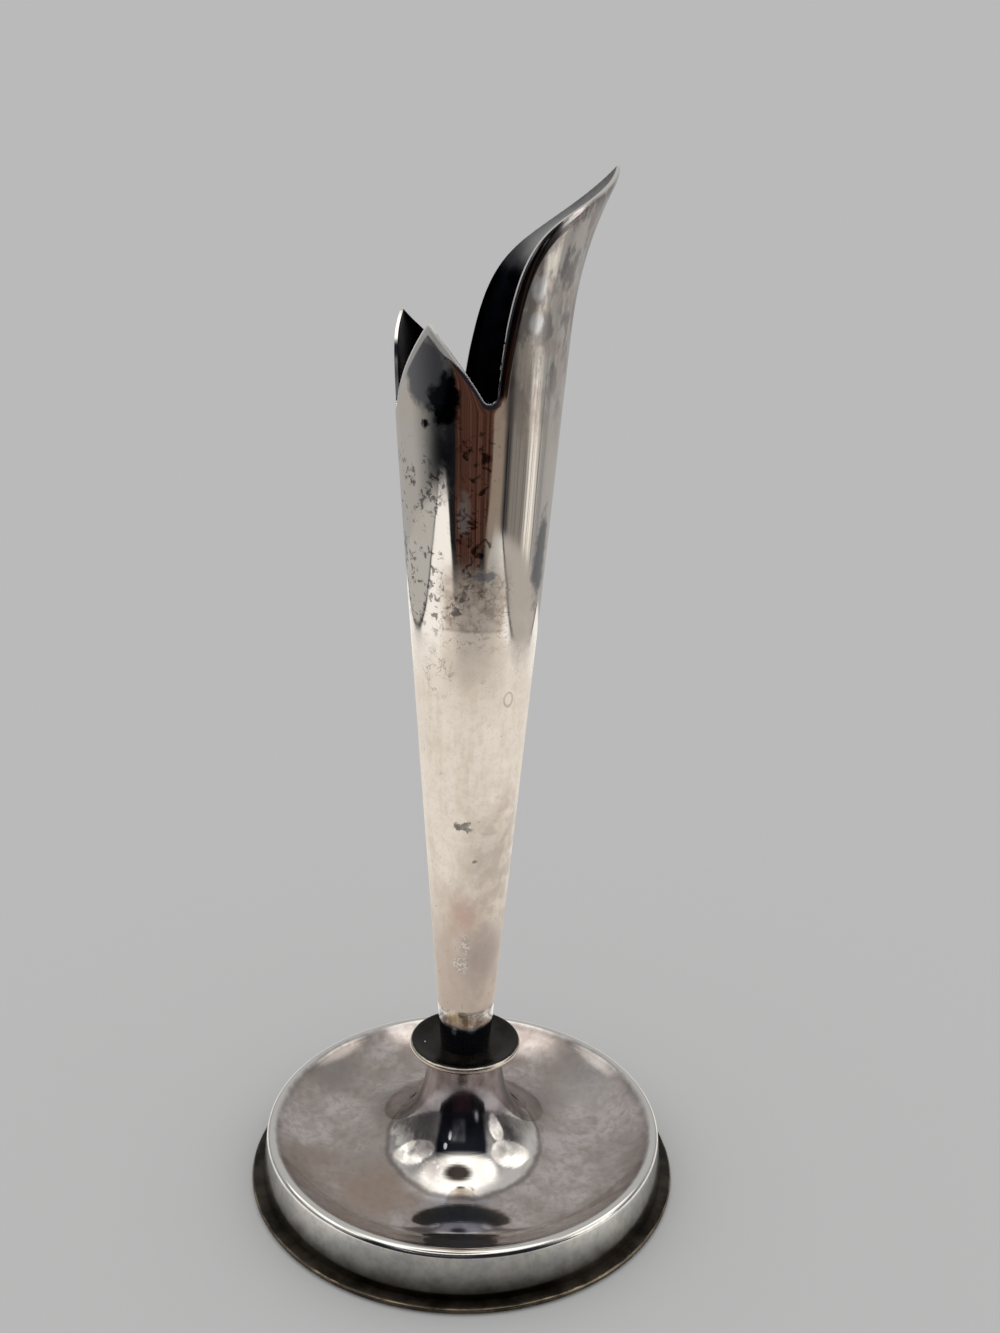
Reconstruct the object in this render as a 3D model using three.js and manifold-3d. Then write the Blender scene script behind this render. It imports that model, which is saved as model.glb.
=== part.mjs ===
// Bud vase: a slender trumpet with a three-petal mouth, on a saucer collar and a spun round base.
// Millimetres, +Z up. The origin is the centre of the underside, and the tall petal points along +X.

import * as THREE from 'three';
import { mergeVertices } from 'three/addons/utils/BufferGeometryUtils.js';
import Module from 'manifold-3d';

const wasm = await Module();
wasm.setup();

// Gap between round neighbours, whose facets can't meet face to face.
const ROUND_GAP = 0.3;

// Foot ring: the thin flange that the skirt stands on and that carries the closing plate.
const FOOT_THICKNESS = 1.0;
const FOOT_PROJECTION = 2.0;
const FOOT_LEDGE = 2.9;

// Spun base, with heights taken from the lower edge of its skirt.
const SHEET = 0.9;
const SKIRT_RADIUS = 36.0;
const SKIRT_DRAFT = 0.7;
const SHOULDER_HEIGHT = 8.2;
const SHOULDER_ROUND = 1.8;
const DISH_RADIUS = 20;
const DISH_DEPTH = 4.4;
const DISH_WALL_ANGLE = 25;
const BASE_HEIGHT = 22.9;
const NECK_RADIUS = 6.6;
const NECK_ROUND = 1.1;

// How far the bell runs straight down from the neck, and level with the dish, before it turns.
const BELL_DROP = 11;
const BELL_SPREAD = 7;

// How far the dish runs level, and along its sloping wall, before it turns.
const DISH_LEVEL_RUN = 5.5;
const DISH_WALL_RUN = 4;

// Saucer collar between the base and the trumpet.
const COLLAR_RADIUS = 9.85;
const COLLAR_HUB = 1.0;
const COLLAR_DISH = 0.8;
const COLLAR_RIM = 1.3;
const COLLAR_FLOOR_MARGIN = 0.9;

// Trumpet, with heights taken from its foot: a straight taper, a slight waist and a flared mouth.
const TRUMPET_FOOT_RADIUS = 4.34;
const TRUMPET_TAPER = 0.0778;
const TRUMPET_WALL = 0.5;
const WAIST_DEPTH = 0.15;
const WAIST_ABOVE_MOUTH = 5.5;
const WAIST_SPAN = 19;
const FLARE_ABOVE_MOUTH = 9.5;
const FLARE_REACH = 5.2;
const FLARE_POWER = 2.35;

// Lip rolled inwards along the petals' edges: the radius of the roll and how far it turns.
const LIP_ROUND = 1.4;
const LIP_ANGLE = 45;

// Mouth: its height at the front valley, the rounding of the valleys and each petal's rise.
const MOUTH_HEIGHT = 113.7;
const VALLEY_ROUND = 0.4;
const TALL_RISE = 33.9;
const FRONT_RISE = 11.1;
const REAR_RISE = 12.4;

// Directions of the petals' tips, in degrees round from the tall tip.
const TALL_TIP = 0;
const REAR_TIP = 146.25;
const FRONT_TIP = 228.75;

// Valleys between the petals: direction and width in degrees, and depth below the mouth's height.
const REAR_VALLEY = { direction: 97.9, width: 7.4, depth: 0 };
const BACK_VALLEY = { direction: 176.75, width: 13, depth: 1.8 };
const FRONT_VALLEY = { direction: 270.4, width: 7.4, depth: 0 };

// Share of an edge's fall that is a straight slope, and how late the rest of it drops away.
const TALL_FRONT_EDGE = { slope: 0.374, lateness: 9.8 };
const TALL_REAR_EDGE = { slope: 0.506, lateness: 7.7 };
const REAR_TALL_EDGE = { slope: 0.55, lateness: 6 };
const REAR_BACK_EDGE = { slope: 0.45, lateness: 5 };
const FRONT_BACK_EDGE = { slope: 1, lateness: 1 };
const FRONT_TALL_EDGE = { slope: 0.88, lateness: 3 };

// Plug in the trumpet's foot, and the bolt that draws trumpet, collar and base together.
const PLUG_HEIGHT = 7;
const BOLT_RADIUS = 1.5;
const BOLT_ENGAGEMENT = 5;
const BOLT_HEAD_FLATS = 5.5;
const BOLT_HEAD_HEIGHT = 2.1;
const WASHER_RADIUS = 4.2;
const WASHER_THICKNESS = 0.7;
const SPRING_WASHER_RADIUS = 3;
const SPRING_WASHER_THICKNESS = 0.8;
const SPRING_WASHER_SLIT = 14;

// Closing plate pressed into the skirt.
const PLATE_SHEET = 0.6;
const PLATE_RIM = 2.6;

// Facets round each kind of piece, and steps along each kind of curve.
const BASE_FACETS = 56;
const TRUMPET_FACETS = 96;
const COLLAR_FACETS = 40;
const SMALL_FACETS = 24;
const TRUMPET_STEPS = 10;
const ARC_STEPS = 4;
const SWEEP_STEPS = 8;

const SILVER = { color: 0xb4aca0, roughness: 0.28, metalness: 1 };
const DARK_TARNISH = { color: 0x4a4235, roughness: 0.34, metalness: 1 };
const WORN_EDGE = { color: 0x7d6844, roughness: 0.38, metalness: 1 };
const BRASS = { color: 0xb08d4f, roughness: 0.4, metalness: 1 };
const STEEL = { color: 0x8f8f8c, roughness: 0.42, metalness: 1 };
const FELT = { color: 0x2c3a30, roughness: 0.95, metalness: 0 };

const boltHole = BOLT_RADIUS + ROUND_GAP;
const skirtBore = SKIRT_RADIUS - SHEET;
const footBore = skirtBore - FOOT_LEDGE;
const domeFlat = NECK_RADIUS - NECK_ROUND;

// A closed body of merged points whose faces point outwards.
function closedBody(geometry) {
  geometry.deleteAttribute('normal');
  geometry.deleteAttribute('uv');
  const body = mergeVertices(geometry);
  const corner = (i) => new THREE.Vector3().fromBufferAttribute(body.attributes.position, i);
  const kept = [];
  let volume = 0;
  for (let i = 0; i < body.index.count; i += 3) {
    const [a, b, c] = [0, 1, 2].map((k) => body.index.getX(i + k));
    if (a === b || b === c || c === a) continue;
    kept.push([a, b, c]);
    volume += corner(a).dot(corner(b).cross(corner(c)));
  }
  body.setIndex(kept.flatMap(([a, b, c]) => (volume < 0 ? [a, c, b] : [a, b, c])));
  return body;
}

// Points along an outline: a straight has only its ends, and arcs and sweeps have even steps.
function sampled(outline) {
  const points = [outline.curves[0].getPoint(0)];
  for (const curve of outline.curves) {
    const curvedSteps = curve.isEllipseCurve ? ARC_STEPS : SWEEP_STEPS;
    points.push(...curve.getPoints(curve.isLineCurve ? 1 : curvedSteps).slice(1));
  }
  return points;
}

// A profile of (radius, height) points turned about the Z axis.
function turned(profile, facets) {
  return closedBody(new THREE.LatheGeometry(profile, facets).rotateX(Math.PI / 2));
}

// A ring or disc of square section between two radii and two heights.
function ring(innerRadius, outerRadius, height, facets) {
  const outline = new THREE.Path();
  outline.moveTo(innerRadius, 0);
  outline.lineTo(outerRadius, 0);
  outline.lineTo(outerRadius, height);
  outline.lineTo(innerRadius, height);
  outline.lineTo(innerRadius, 0);
  return turned(sampled(outline), facets);
}

// The far side of a sheet whose near side follows the points.
function farSide(points, thickness) {
  return points.map((point, i) => {
    const before = points[Math.max(i - 1, 0)];
    const after = points[Math.min(i + 1, points.length - 1)];
    const along = after.clone().sub(before).normalize();
    return new THREE.Vector2(point.x + along.y * thickness, point.y - along.x * thickness);
  });
}

// A closed loop of a sheet's two sides.
function sheetLoop(points, thickness) {
  return [...points, ...farSide(points, thickness).reverse(), points[0]];
}

function toSolid(geometry) {
  const body = closedBody(geometry);
  const vertProperties = new Float32Array(body.attributes.position.array);
  const triVerts = new Uint32Array(body.index.array);
  return new wasm.Manifold(new wasm.Mesh({ numProp: 3, vertProperties, triVerts }));
}

// Two bodies that overlap, joined into one.
function joined(first, second) {
  const { vertProperties, triVerts } = toSolid(first).add(toSolid(second)).getMesh();
  const geometry = new THREE.BufferGeometry();
  geometry.setAttribute('position', new THREE.BufferAttribute(vertProperties, 3));
  geometry.setIndex(new THREE.BufferAttribute(triVerts, 1));
  return geometry;
}

// Each petal runs from one valley, over its tip, to the next.
const petals = [
  {
    tip: TALL_TIP,
    rise: TALL_RISE,
    before: { valley: FRONT_VALLEY, edge: TALL_FRONT_EDGE },
    after: { valley: REAR_VALLEY, edge: TALL_REAR_EDGE },
  },
  {
    tip: REAR_TIP,
    rise: REAR_RISE,
    before: { valley: REAR_VALLEY, edge: REAR_TALL_EDGE },
    after: { valley: BACK_VALLEY, edge: REAR_BACK_EDGE },
  },
  {
    tip: FRONT_TIP,
    rise: FRONT_RISE,
    before: { valley: BACK_VALLEY, edge: FRONT_BACK_EDGE },
    after: { valley: FRONT_VALLEY, edge: FRONT_TALL_EDGE },
  },
];

// The shorter way round from one direction to another, in degrees.
function turnBetween(start, end) {
  return THREE.MathUtils.euclideanModulo(end - start + 180, 360) - 180;
}

// Height of one petal's edge in a direction, going on down past its valleys.
function petalEdge(petal, direction) {
  const turn = turnBetween(petal.tip, direction);
  const { valley, edge } = turn < 0 ? petal.before : petal.after;
  const reach = Math.abs(turnBetween(petal.tip, valley.direction)) - valley.width / 2;
  const share = Math.abs(turn) / reach;
  const fall = edge.slope * share + (1 - edge.slope) * share ** edge.lateness;
  return MOUTH_HEIGHT + petal.rise - (petal.rise + valley.depth) * fall;
}

// Floor of the valley that is nearest in a direction.
function valleyFloor(direction) {
  const away = (valley) => Math.abs(turnBetween(valley.direction, direction));
  const [nearest] = [REAR_VALLEY, BACK_VALLEY, FRONT_VALLEY].sort((a, b) => away(a) - away(b));
  return MOUTH_HEIGHT - nearest.depth;
}

// Height of the mouth's edge in a direction: the highest petal there, or the rounded valley floor.
function rimHeight(direction) {
  const edges = [valleyFloor(direction), ...petals.map((petal) => petalEdge(petal, direction))];
  const highest = Math.max(...edges);
  const blended = edges.reduce((sum, edge) => sum + Math.exp((edge - highest) / VALLEY_ROUND), 0);
  return highest + VALLEY_ROUND * Math.log(blended);
}

// How far the rolled lip draws in at a height, from the distance to the sloping edge or the valley floor.
function lipInset(direction, height) {
  const step = 360 / TRUMPET_FACETS;
  const run = THREE.MathUtils.degToRad(step) * (TRUMPET_FOOT_RADIUS + TRUMPET_TAPER * MOUTH_HEIGHT);
  const rim = rimHeight(direction);
  const [before, after] = [direction - step, direction + step].map((turn) => rimHeight(turn) - rim);
  const steepness = Math.max(Math.abs(before), Math.abs(after)) / run;
  const toEdge = (rim - height) / Math.hypot(1, steepness);
  const distance = Math.max(toEdge, valleyFloor(direction) - height);
  const lipWidth = LIP_ROUND * Math.sin(THREE.MathUtils.degToRad(LIP_ANGLE));
  return LIP_ROUND - Math.sqrt(LIP_ROUND ** 2 - Math.max(lipWidth - distance, 0) ** 2);
}

// Outer radius of the trumpet at a height, below its rolled lip.
function trumpetRadius(height) {
  const straight = TRUMPET_FOOT_RADIUS + TRUMPET_TAPER * height;
  const waistOffset = (height - MOUTH_HEIGHT - WAIST_ABOVE_MOUTH) / WAIST_SPAN;
  const waist = WAIST_DEPTH * Math.exp(-(waistOffset ** 2));
  const flareShare = (height - MOUTH_HEIGHT - FLARE_ABOVE_MOUTH) / (TALL_RISE - FLARE_ABOVE_MOUTH);
  const flare = FLARE_REACH * Math.max(flareShare, 0) ** FLARE_POWER;
  return straight - waist + flare;
}

// A plain double sleeve whose points are moved along their own columns to the petal rim and the flare.
function trumpetGeometry() {
  const INNER = 1;
  const OUTER = 2;
  const levels = Array.from({ length: TRUMPET_STEPS + 1 }, (_, i) => 1 - (1 - i / TRUMPET_STEPS) ** 2);
  const outer = levels.map((level) => new THREE.Vector2(OUTER, level));
  const inner = levels.map((level) => new THREE.Vector2(INNER, level));
  const sleeve = new THREE.LatheGeometry([...outer, ...inner.reverse(), outer[0]], TRUMPET_FACETS);
  const points = sleeve.rotateX(Math.PI / 2).attributes.position;
  for (let i = 0; i < points.count; i += 1) {
    const angle = Math.atan2(points.getY(i), points.getX(i));
    const side = Math.round(Math.hypot(points.getX(i), points.getY(i)));
    const direction = THREE.MathUtils.radToDeg(angle);
    const height = points.getZ(i) * rimHeight(direction);
    const inset = lipInset(direction, height) + (side === INNER ? TRUMPET_WALL : 0);
    const radius = trumpetRadius(height) - inset;
    points.setXYZ(i, radius * Math.cos(angle), radius * Math.sin(angle), height);
  }
  return closedBody(sleeve);
}

// A tapered plug that follows the trumpet's inside, with a blind bore for the bolt.
function plugGeometry() {
  const radiusAt = (height) => {
    return TRUMPET_FOOT_RADIUS + TRUMPET_TAPER * height - TRUMPET_WALL - ROUND_GAP;
  };
  const boreDepth = BOLT_ENGAGEMENT + ROUND_GAP;
  const outline = new THREE.Path();
  outline.moveTo(boltHole, 0);
  outline.lineTo(radiusAt(0), 0);
  outline.lineTo(radiusAt(PLUG_HEIGHT), PLUG_HEIGHT);
  outline.lineTo(0, PLUG_HEIGHT);
  outline.lineTo(0, boreDepth);
  outline.lineTo(boltHole, boreDepth);
  outline.lineTo(boltHole, 0);
  return turned(sampled(outline), SMALL_FACETS);
}

// A thick-rimmed saucer: flat hub, hollow top and a half-round edge.
function collarGeometry() {
  const rimTop = COLLAR_HUB + COLLAR_DISH;
  const rimRound = COLLAR_RIM / 2;
  const rimCentre = new THREE.Vector2(COLLAR_RADIUS - rimRound, rimTop - rimRound);
  const floor = TRUMPET_FOOT_RADIUS + COLLAR_FLOOR_MARGIN;
  const underTurn = (domeFlat + rimCentre.x) / 2;
  const dishTurn = (floor + rimCentre.x) / 2;
  const outline = new THREE.Path();
  outline.moveTo(boltHole, 0);
  outline.lineTo(domeFlat, 0);
  outline.quadraticCurveTo(underTurn, 0, rimCentre.x, rimTop - COLLAR_RIM);
  outline.absarc(rimCentre.x, rimCentre.y, rimRound, -Math.PI / 2, Math.PI / 2, false);
  outline.quadraticCurveTo(dishTurn, COLLAR_HUB, floor, COLLAR_HUB);
  outline.lineTo(boltHole, COLLAR_HUB);
  outline.lineTo(boltHole, 0);
  return turned(sampled(outline), COLLAR_FACETS);
}

// One spun sheet: flat top with a bolt hole, neck, bell, dish, rounded shoulder and drafted skirt.
function baseGeometry() {
  const neckFoot = BASE_HEIGHT - NECK_ROUND;
  const dishHeight = SHOULDER_HEIGHT - DISH_DEPTH;
  const wallAngle = THREE.MathUtils.degToRad(DISH_WALL_ANGLE);
  const shoulderX = SKIRT_RADIUS - SKIRT_DRAFT - SHOULDER_ROUND;
  const shoulderY = SHOULDER_HEIGHT - SHOULDER_ROUND;
  const wallTopX = shoulderX - SHOULDER_ROUND * Math.sin(wallAngle);
  const wallTopY = shoulderY + SHOULDER_ROUND * Math.cos(wallAngle);
  const top = new THREE.Path();
  top.moveTo(boltHole, BASE_HEIGHT);
  top.lineTo(domeFlat, BASE_HEIGHT);
  top.absarc(domeFlat, neckFoot, NECK_ROUND, Math.PI / 2, 0, true);
  top.bezierCurveTo(
    NECK_RADIUS, neckFoot - BELL_DROP,
    DISH_RADIUS - BELL_SPREAD, dishHeight,
    DISH_RADIUS, dishHeight,
  );
  top.bezierCurveTo(
    DISH_RADIUS + DISH_LEVEL_RUN, dishHeight,
    wallTopX - DISH_WALL_RUN * Math.cos(wallAngle), wallTopY - DISH_WALL_RUN * Math.sin(wallAngle),
    wallTopX, wallTopY,
  );
  top.absarc(shoulderX, shoulderY, SHOULDER_ROUND, Math.PI / 2 + wallAngle, 0, true);
  top.lineTo(SKIRT_RADIUS, SHEET);
  top.lineTo(SKIRT_RADIUS, 0);
  return turned(sheetLoop(sampled(top), SHEET), BASE_FACETS);
}

// A flat ring with a half-round outer edge.
function footGeometry() {
  const edgeRound = FOOT_THICKNESS / 2;
  const edgeCentre = SKIRT_RADIUS + FOOT_PROJECTION - edgeRound;
  const outline = new THREE.Path();
  outline.moveTo(footBore, 0);
  outline.lineTo(edgeCentre, 0);
  outline.absarc(edgeCentre, edgeRound, edgeRound, -Math.PI / 2, Math.PI / 2, false);
  outline.lineTo(footBore, FOOT_THICKNESS);
  outline.lineTo(footBore, 0);
  return turned(sampled(outline), BASE_FACETS);
}

// A shallow pressed pan with its rim turned up inside the skirt.
function plateGeometry() {
  const draftHeight = SHOULDER_HEIGHT - SHOULDER_ROUND - SHEET;
  const draftAtRim = SKIRT_DRAFT * Math.max((PLATE_RIM - SHEET) / draftHeight, 0);
  const plateRadius = skirtBore - draftAtRim - ROUND_GAP;
  const outline = new THREE.Path();
  outline.moveTo(0, 0);
  outline.lineTo(plateRadius, 0);
  outline.lineTo(plateRadius, PLATE_RIM);
  outline.lineTo(plateRadius - PLATE_SHEET, PLATE_RIM);
  outline.lineTo(plateRadius - PLATE_SHEET, PLATE_SHEET);
  outline.lineTo(0, PLATE_SHEET);
  return turned(sampled(outline), BASE_FACETS);
}

// A hexagon-headed bolt that points up, with its head's upper face at height 0.
function boltGeometry() {
  const gripped = WASHER_THICKNESS + SPRING_WASHER_THICKNESS + SHEET + COLLAR_HUB;
  const shankLength = gripped + BOLT_ENGAGEMENT;
  const cornerRadius = BOLT_HEAD_FLATS / Math.sqrt(3);
  const head = new THREE.CylinderGeometry(cornerRadius, cornerRadius, BOLT_HEAD_HEIGHT, 6);
  head.rotateX(Math.PI / 2).translate(0, 0, -BOLT_HEAD_HEIGHT / 2);
  const length = shankLength + BOLT_HEAD_HEIGHT / 2;
  const shank = new THREE.CylinderGeometry(BOLT_RADIUS, BOLT_RADIUS, length, SMALL_FACETS);
  shank.rotateX(Math.PI / 2).translate(0, 0, shankLength - length / 2);
  return joined(head, shank);
}

// A flat spring ring with a slit through one side.
function springWasherGeometry() {
  const slit = THREE.MathUtils.degToRad(SPRING_WASHER_SLIT);
  const outline = new THREE.Shape();
  outline.absarc(0, 0, SPRING_WASHER_RADIUS, slit / 2, 2 * Math.PI - slit / 2, false);
  outline.absarc(0, 0, boltHole, 2 * Math.PI - slit / 2, slit / 2, true);
  const settings = { depth: SPRING_WASHER_THICKNESS, bevelEnabled: false, curveSegments: SMALL_FACETS };
  return closedBody(new THREE.ExtrudeGeometry(outline, settings));
}

function piece(name, geometry, finish, height = 0) {
  const mesh = new THREE.Mesh(geometry, new THREE.MeshStandardMaterial(finish));
  mesh.name = name;
  mesh.position.z = height;
  return mesh;
}

// Under the flat top, from the sheet downwards: flat washer, spring washer, bolt head.
const washerSeat = -SHEET - WASHER_THICKNESS;
const springSeat = washerSeat - SPRING_WASHER_THICKNESS;
const washer = ring(boltHole, WASHER_RADIUS, WASHER_THICKNESS, SMALL_FACETS);
const feltRadius = footBore - ROUND_GAP;

// The fixing stack hangs from the base's flat top.
const fixing = new THREE.Group();
fixing.position.z = BASE_HEIGHT;
fixing.add(piece('flat_washer', washer, STEEL, washerSeat));
fixing.add(piece('spring_washer', springWasherGeometry(), STEEL, springSeat));
fixing.add(piece('clamp_bolt', boltGeometry(), STEEL, springSeat));

// The trumpet and its plug stand on the collar's hub.
const stem = new THREE.Group();
stem.position.z = BASE_HEIGHT;
stem.add(piece('collar_disc', collarGeometry(), DARK_TARNISH));
stem.add(piece('trumpet_body', trumpetGeometry(), SILVER, COLLAR_HUB));
stem.add(piece('trumpet_plug', plugGeometry(), BRASS, COLLAR_HUB));

// Everything above the foot ring stands on its upper face.
const upper = new THREE.Group();
upper.position.z = FOOT_THICKNESS;
upper.add(piece('base_shell', baseGeometry(), SILVER));
upper.add(piece('closing_plate', plateGeometry(), BRASS));
upper.add(fixing, stem);

const vase = new THREE.Group();
vase.name = 'bud_vase';
vase.add(piece('foot_ring', footGeometry(), WORN_EDGE));
vase.add(piece('felt_pad', ring(0, feltRadius, FOOT_THICKNESS, BASE_FACETS), FELT));
vase.add(upper);

export default vase;
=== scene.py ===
"""Bud vase: a plated trumpet with a three-petal mouth on a saucer collar and a spun base, in a small light tent."""

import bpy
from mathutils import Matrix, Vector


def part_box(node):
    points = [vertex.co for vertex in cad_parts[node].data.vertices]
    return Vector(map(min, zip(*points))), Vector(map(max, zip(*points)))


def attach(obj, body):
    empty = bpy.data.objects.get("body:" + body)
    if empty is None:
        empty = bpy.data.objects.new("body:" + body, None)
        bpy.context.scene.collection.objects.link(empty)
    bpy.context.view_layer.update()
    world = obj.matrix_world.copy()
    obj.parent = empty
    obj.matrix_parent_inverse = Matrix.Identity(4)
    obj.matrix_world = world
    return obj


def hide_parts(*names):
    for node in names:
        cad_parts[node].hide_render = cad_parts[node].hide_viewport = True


bl_info = {
    "name": "Bud Vase",
    "version": (1, 0, 0),
    "blender": (4, 5, 0),
    "location": "View3D > Sidebar > Bud Vase",
    "description": "Models a worn plated bud vase on its packed frame, with its finishes and its studio",
    "category": "Add Mesh",
}

import contextlib
import math

import bpy
from bpy.props import FloatProperty, FloatVectorProperty, IntProperty, PointerProperty
from mathutils import Matrix, Vector
from mathutils.kdtree import KDTree

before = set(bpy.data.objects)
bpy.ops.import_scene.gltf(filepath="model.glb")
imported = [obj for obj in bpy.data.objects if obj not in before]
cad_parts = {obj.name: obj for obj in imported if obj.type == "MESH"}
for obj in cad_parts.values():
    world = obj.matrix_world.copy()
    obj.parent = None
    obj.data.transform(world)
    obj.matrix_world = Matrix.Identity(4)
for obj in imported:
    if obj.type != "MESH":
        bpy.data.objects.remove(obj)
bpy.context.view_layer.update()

FOOT_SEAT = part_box("foot_ring")[0].z
BASE_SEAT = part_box("base_shell")[0].z
COLLAR_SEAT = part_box("collar_disc")[0].z
TRUMPET_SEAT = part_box("trumpet_body")[0].z
FOOT_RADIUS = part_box("foot_ring")[1].x
RIM_SAMPLES = 1440
RIM_GAP = "rim_gap"
RING_BUNCHING = 1.8
STEEPEST_RIM = 10
LIP_CHANGE = math.radians(4)
SMOOTH_ANGLE = math.radians(40)
MERGE_GAP = 1e-6
NECK_STEPS, BELL_STEPS, DISH_STEPS, SHOULDER_STEPS = 8, 36, 20, 16
SAUCER_STEPS, RIM_STEPS, FLANGE_STEPS = 12, 16, 12
FELT_RINGS, FELT_EDGE_STEPS, FELT_EDGE_SHARE = 40, 4, 0.3
TENT_HALF, DOME_RADIUS = 1600, 1.5
SENSOR_WIDTH, CLIP_START = 36, 0.005
ORIGIN = (0, 0, 0)


def length(name, description, millimetres):
    """A length property whose default is given in millimetres."""
    return FloatProperty(
        name=name, description=description, default=millimetres / 1000, unit="LENGTH", precision=5
    )


def turn(name, description, degrees):
    """An angle property whose default is given in degrees."""
    return FloatProperty(
        name=name, description=description, default=math.radians(degrees), subtype="ANGLE"
    )


def share(name, description, value, highest=1.0):
    """A plain number with no unit."""
    return FloatProperty(name=name, description=description, default=value, min=0.0, max=highest)


def colour(name, description, red, green, blue):
    """A colour property in linear light."""
    return FloatVectorProperty(
        name=name, description=description, default=(red, green, blue, 1.0), size=4,
        subtype="COLOR", min=0.0, max=4.0,
    )


class BudVaseTrumpet(bpy.types.PropertyGroup):
    """Sizes of the trumpet and its petals, with heights from its foot."""

    foot_radius: length("Foot radius", "Outer radius of the trumpet where it stands on the collar", 4.34)
    taper: share("Taper", "Growth of the radius for each unit of height", 0.0778)
    wall: length("Wall", "Thickness of the trumpet's sheet", 0.5)
    waist_depth: length("Waist depth", "How far the waist draws in below the flare", 0.15)
    waist_height: length("Waist height", "Height of the waist above the valleys", 5.5)
    waist_span: length("Waist span", "Half length of the waist", 19)
    flare_start: length("Flare start", "Height above the valleys where the tall petal starts to lean out", 9.5)
    flare_reach: length("Flare reach", "How far the tall petal's tip leans out", 5.2)
    flare_power: share("Flare power", "How late the tall petal leans out", 2.35, 6.0)
    lip_round: length("Lip round", "Radius of the lip that rolls inwards along the rim", 2.0)
    lip_angle: turn("Lip angle", "How far the lip rolls", 45)
    tall_half: turn("Tall half", "How far the tall petal's rolled lip reaches to either side of its tip", 91)
    lip_growth: length("Lip growth", "Height above the valleys in which the tall petal's lip takes its full roll", 3.5)
    short_lip: share("Short lip", "Share of the roll on the short petals", 0.3)
    mouth_height: length("Mouth height", "Height of the front valley between the petals", 113.7)
    valley_width: turn("Valley width", "Width of the front and rear valleys, round the mouth", 7.4)
    back_width: turn("Back valley width", "Width of the back valley, round the mouth", 13)
    back_depth: length("Back valley depth", "Depth of the back valley below the others", 1.8)
    valley_round: length("Valley round", "Radius of the disc that fits in the valleys", 1.1)
    tall_rise: length("Tall petal rise", "Height of the tall tip above the valleys", 33.9)
    front_rise: length("Front petal rise", "Height of the front tip above the valleys", 11.1)
    rear_rise: length("Rear petal rise", "Height of the rear tip above the valleys", 12.4)
    rear_tip: turn("Rear tip", "Direction of the rear tip from the tall one", 146.25)
    front_tip: turn("Front tip", "Direction of the front tip from the tall one", 228.75)
    rear_valley: turn("Rear valley", "Direction of the valley between the tall and the rear petal", 97.9)
    back_valley: turn("Back valley", "Direction of the valley between the two short petals", 176.75)
    front_valley: turn("Front valley", "Direction of the valley between the front and the tall petal", 270.4)
    columns: IntProperty(name="Columns", description="Faces round the trumpet", default=540, min=96, max=720)
    rings: IntProperty(name="Rings", description="Faces up the trumpet", default=56, min=12, max=96)


class BudVaseBase(bpy.types.PropertyGroup):
    """Sizes of the spun base, the collar, the foot ring and the felt."""

    sheet: length("Sheet", "Thickness of the base's sheet", 0.9)
    bolt_hole: length("Bolt hole", "Radius of the hole for the bolt", 1.8)
    skirt_radius: length("Skirt radius", "Outer radius at the skirt's lower edge", 36)
    skirt_draft: length("Skirt draft", "How far the skirt leans in up to the shoulder", 0.7)
    shoulder_height: length("Shoulder height", "Height of the shoulder's top", 8.2)
    shoulder_round: length("Shoulder round", "Radius of the shoulder", 1.05)
    dish_radius: length("Dish radius", "Radius at the lowest ring of the dish", 23.7)
    dish_depth: length("Dish depth", "Depth of the dish below the shoulder", 4.6)
    dish_wall_angle: turn("Dish wall angle", "Slope of the dish where it meets the shoulder", 28)
    dish_level_run: length("Dish level run", "How far the dish runs level before it rises", 5.1)
    dish_wall_run: length("Dish wall run", "How far the dish's wall runs straight", 0.7)
    height: length("Base height", "Height of the flat top under the collar", 22.9)
    neck_radius: length("Neck radius", "Radius of the bell's neck", 6.6)
    neck_round: length("Neck round", "Rounding of the neck's upper edge", 1.1)
    bell_drop: length("Bell drop", "How far the bell runs straight down from the neck", 8.1)
    bell_spread: length("Bell spread", "How far the bell runs level into the dish", 13.5)
    collar_radius: length("Collar radius", "Outer radius of the saucer collar", 9.85)
    collar_hub: length("Collar hub", "Thickness of the collar's hub", 1.0)
    collar_dish: length("Collar dish", "Rise of the collar's rim above its hub", 0.8)
    collar_rim: length("Collar rim", "Thickness of the collar's rim", 1.3)
    collar_floor: length("Collar floor", "Radius of the collar's level floor", 5.24)
    collar_seat: length("Collar seat", "Radius of the collar's flat underside", 5.5)
    foot_thickness: length("Foot thickness", "Thickness of the foot ring", 1.0)
    foot_bore: length("Foot bore", "Inner radius of the foot ring", 32.2)
    felt_radius: length("Felt radius", "Radius of the felt pad", 31.9)
    spin_steps: IntProperty(
        name="Spin steps", description="Faces round the spun pieces", default=160, min=48, max=320
    )


class BudVaseFinish(bpy.types.PropertyGroup):
    """Colours of the finishes."""

    silver: colour("Silver", "Polished plate", 0.88, 0.84, 0.79)
    haze: colour("Haze", "Dull cream film on the lower trumpet", 0.99, 0.885, 0.755)
    dish_film: colour("Dish film", "Grey and mauve film on the base", 0.47, 0.41, 0.375)
    tarnish: colour("Tarnish", "Blue-black tarnish", 0.014, 0.016, 0.022)
    collar_dark: colour("Collar tarnish", "Dark olive film on the collar", 0.010, 0.009, 0.007)
    brass: colour("Brass", "Unplated brass", 0.60, 0.45, 0.20)
    steel: colour("Steel", "Plain zinc-grey steel", 0.45, 0.45, 0.44)
    felt: colour("Felt", "Dark green wool", 0.030, 0.055, 0.038)


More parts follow.
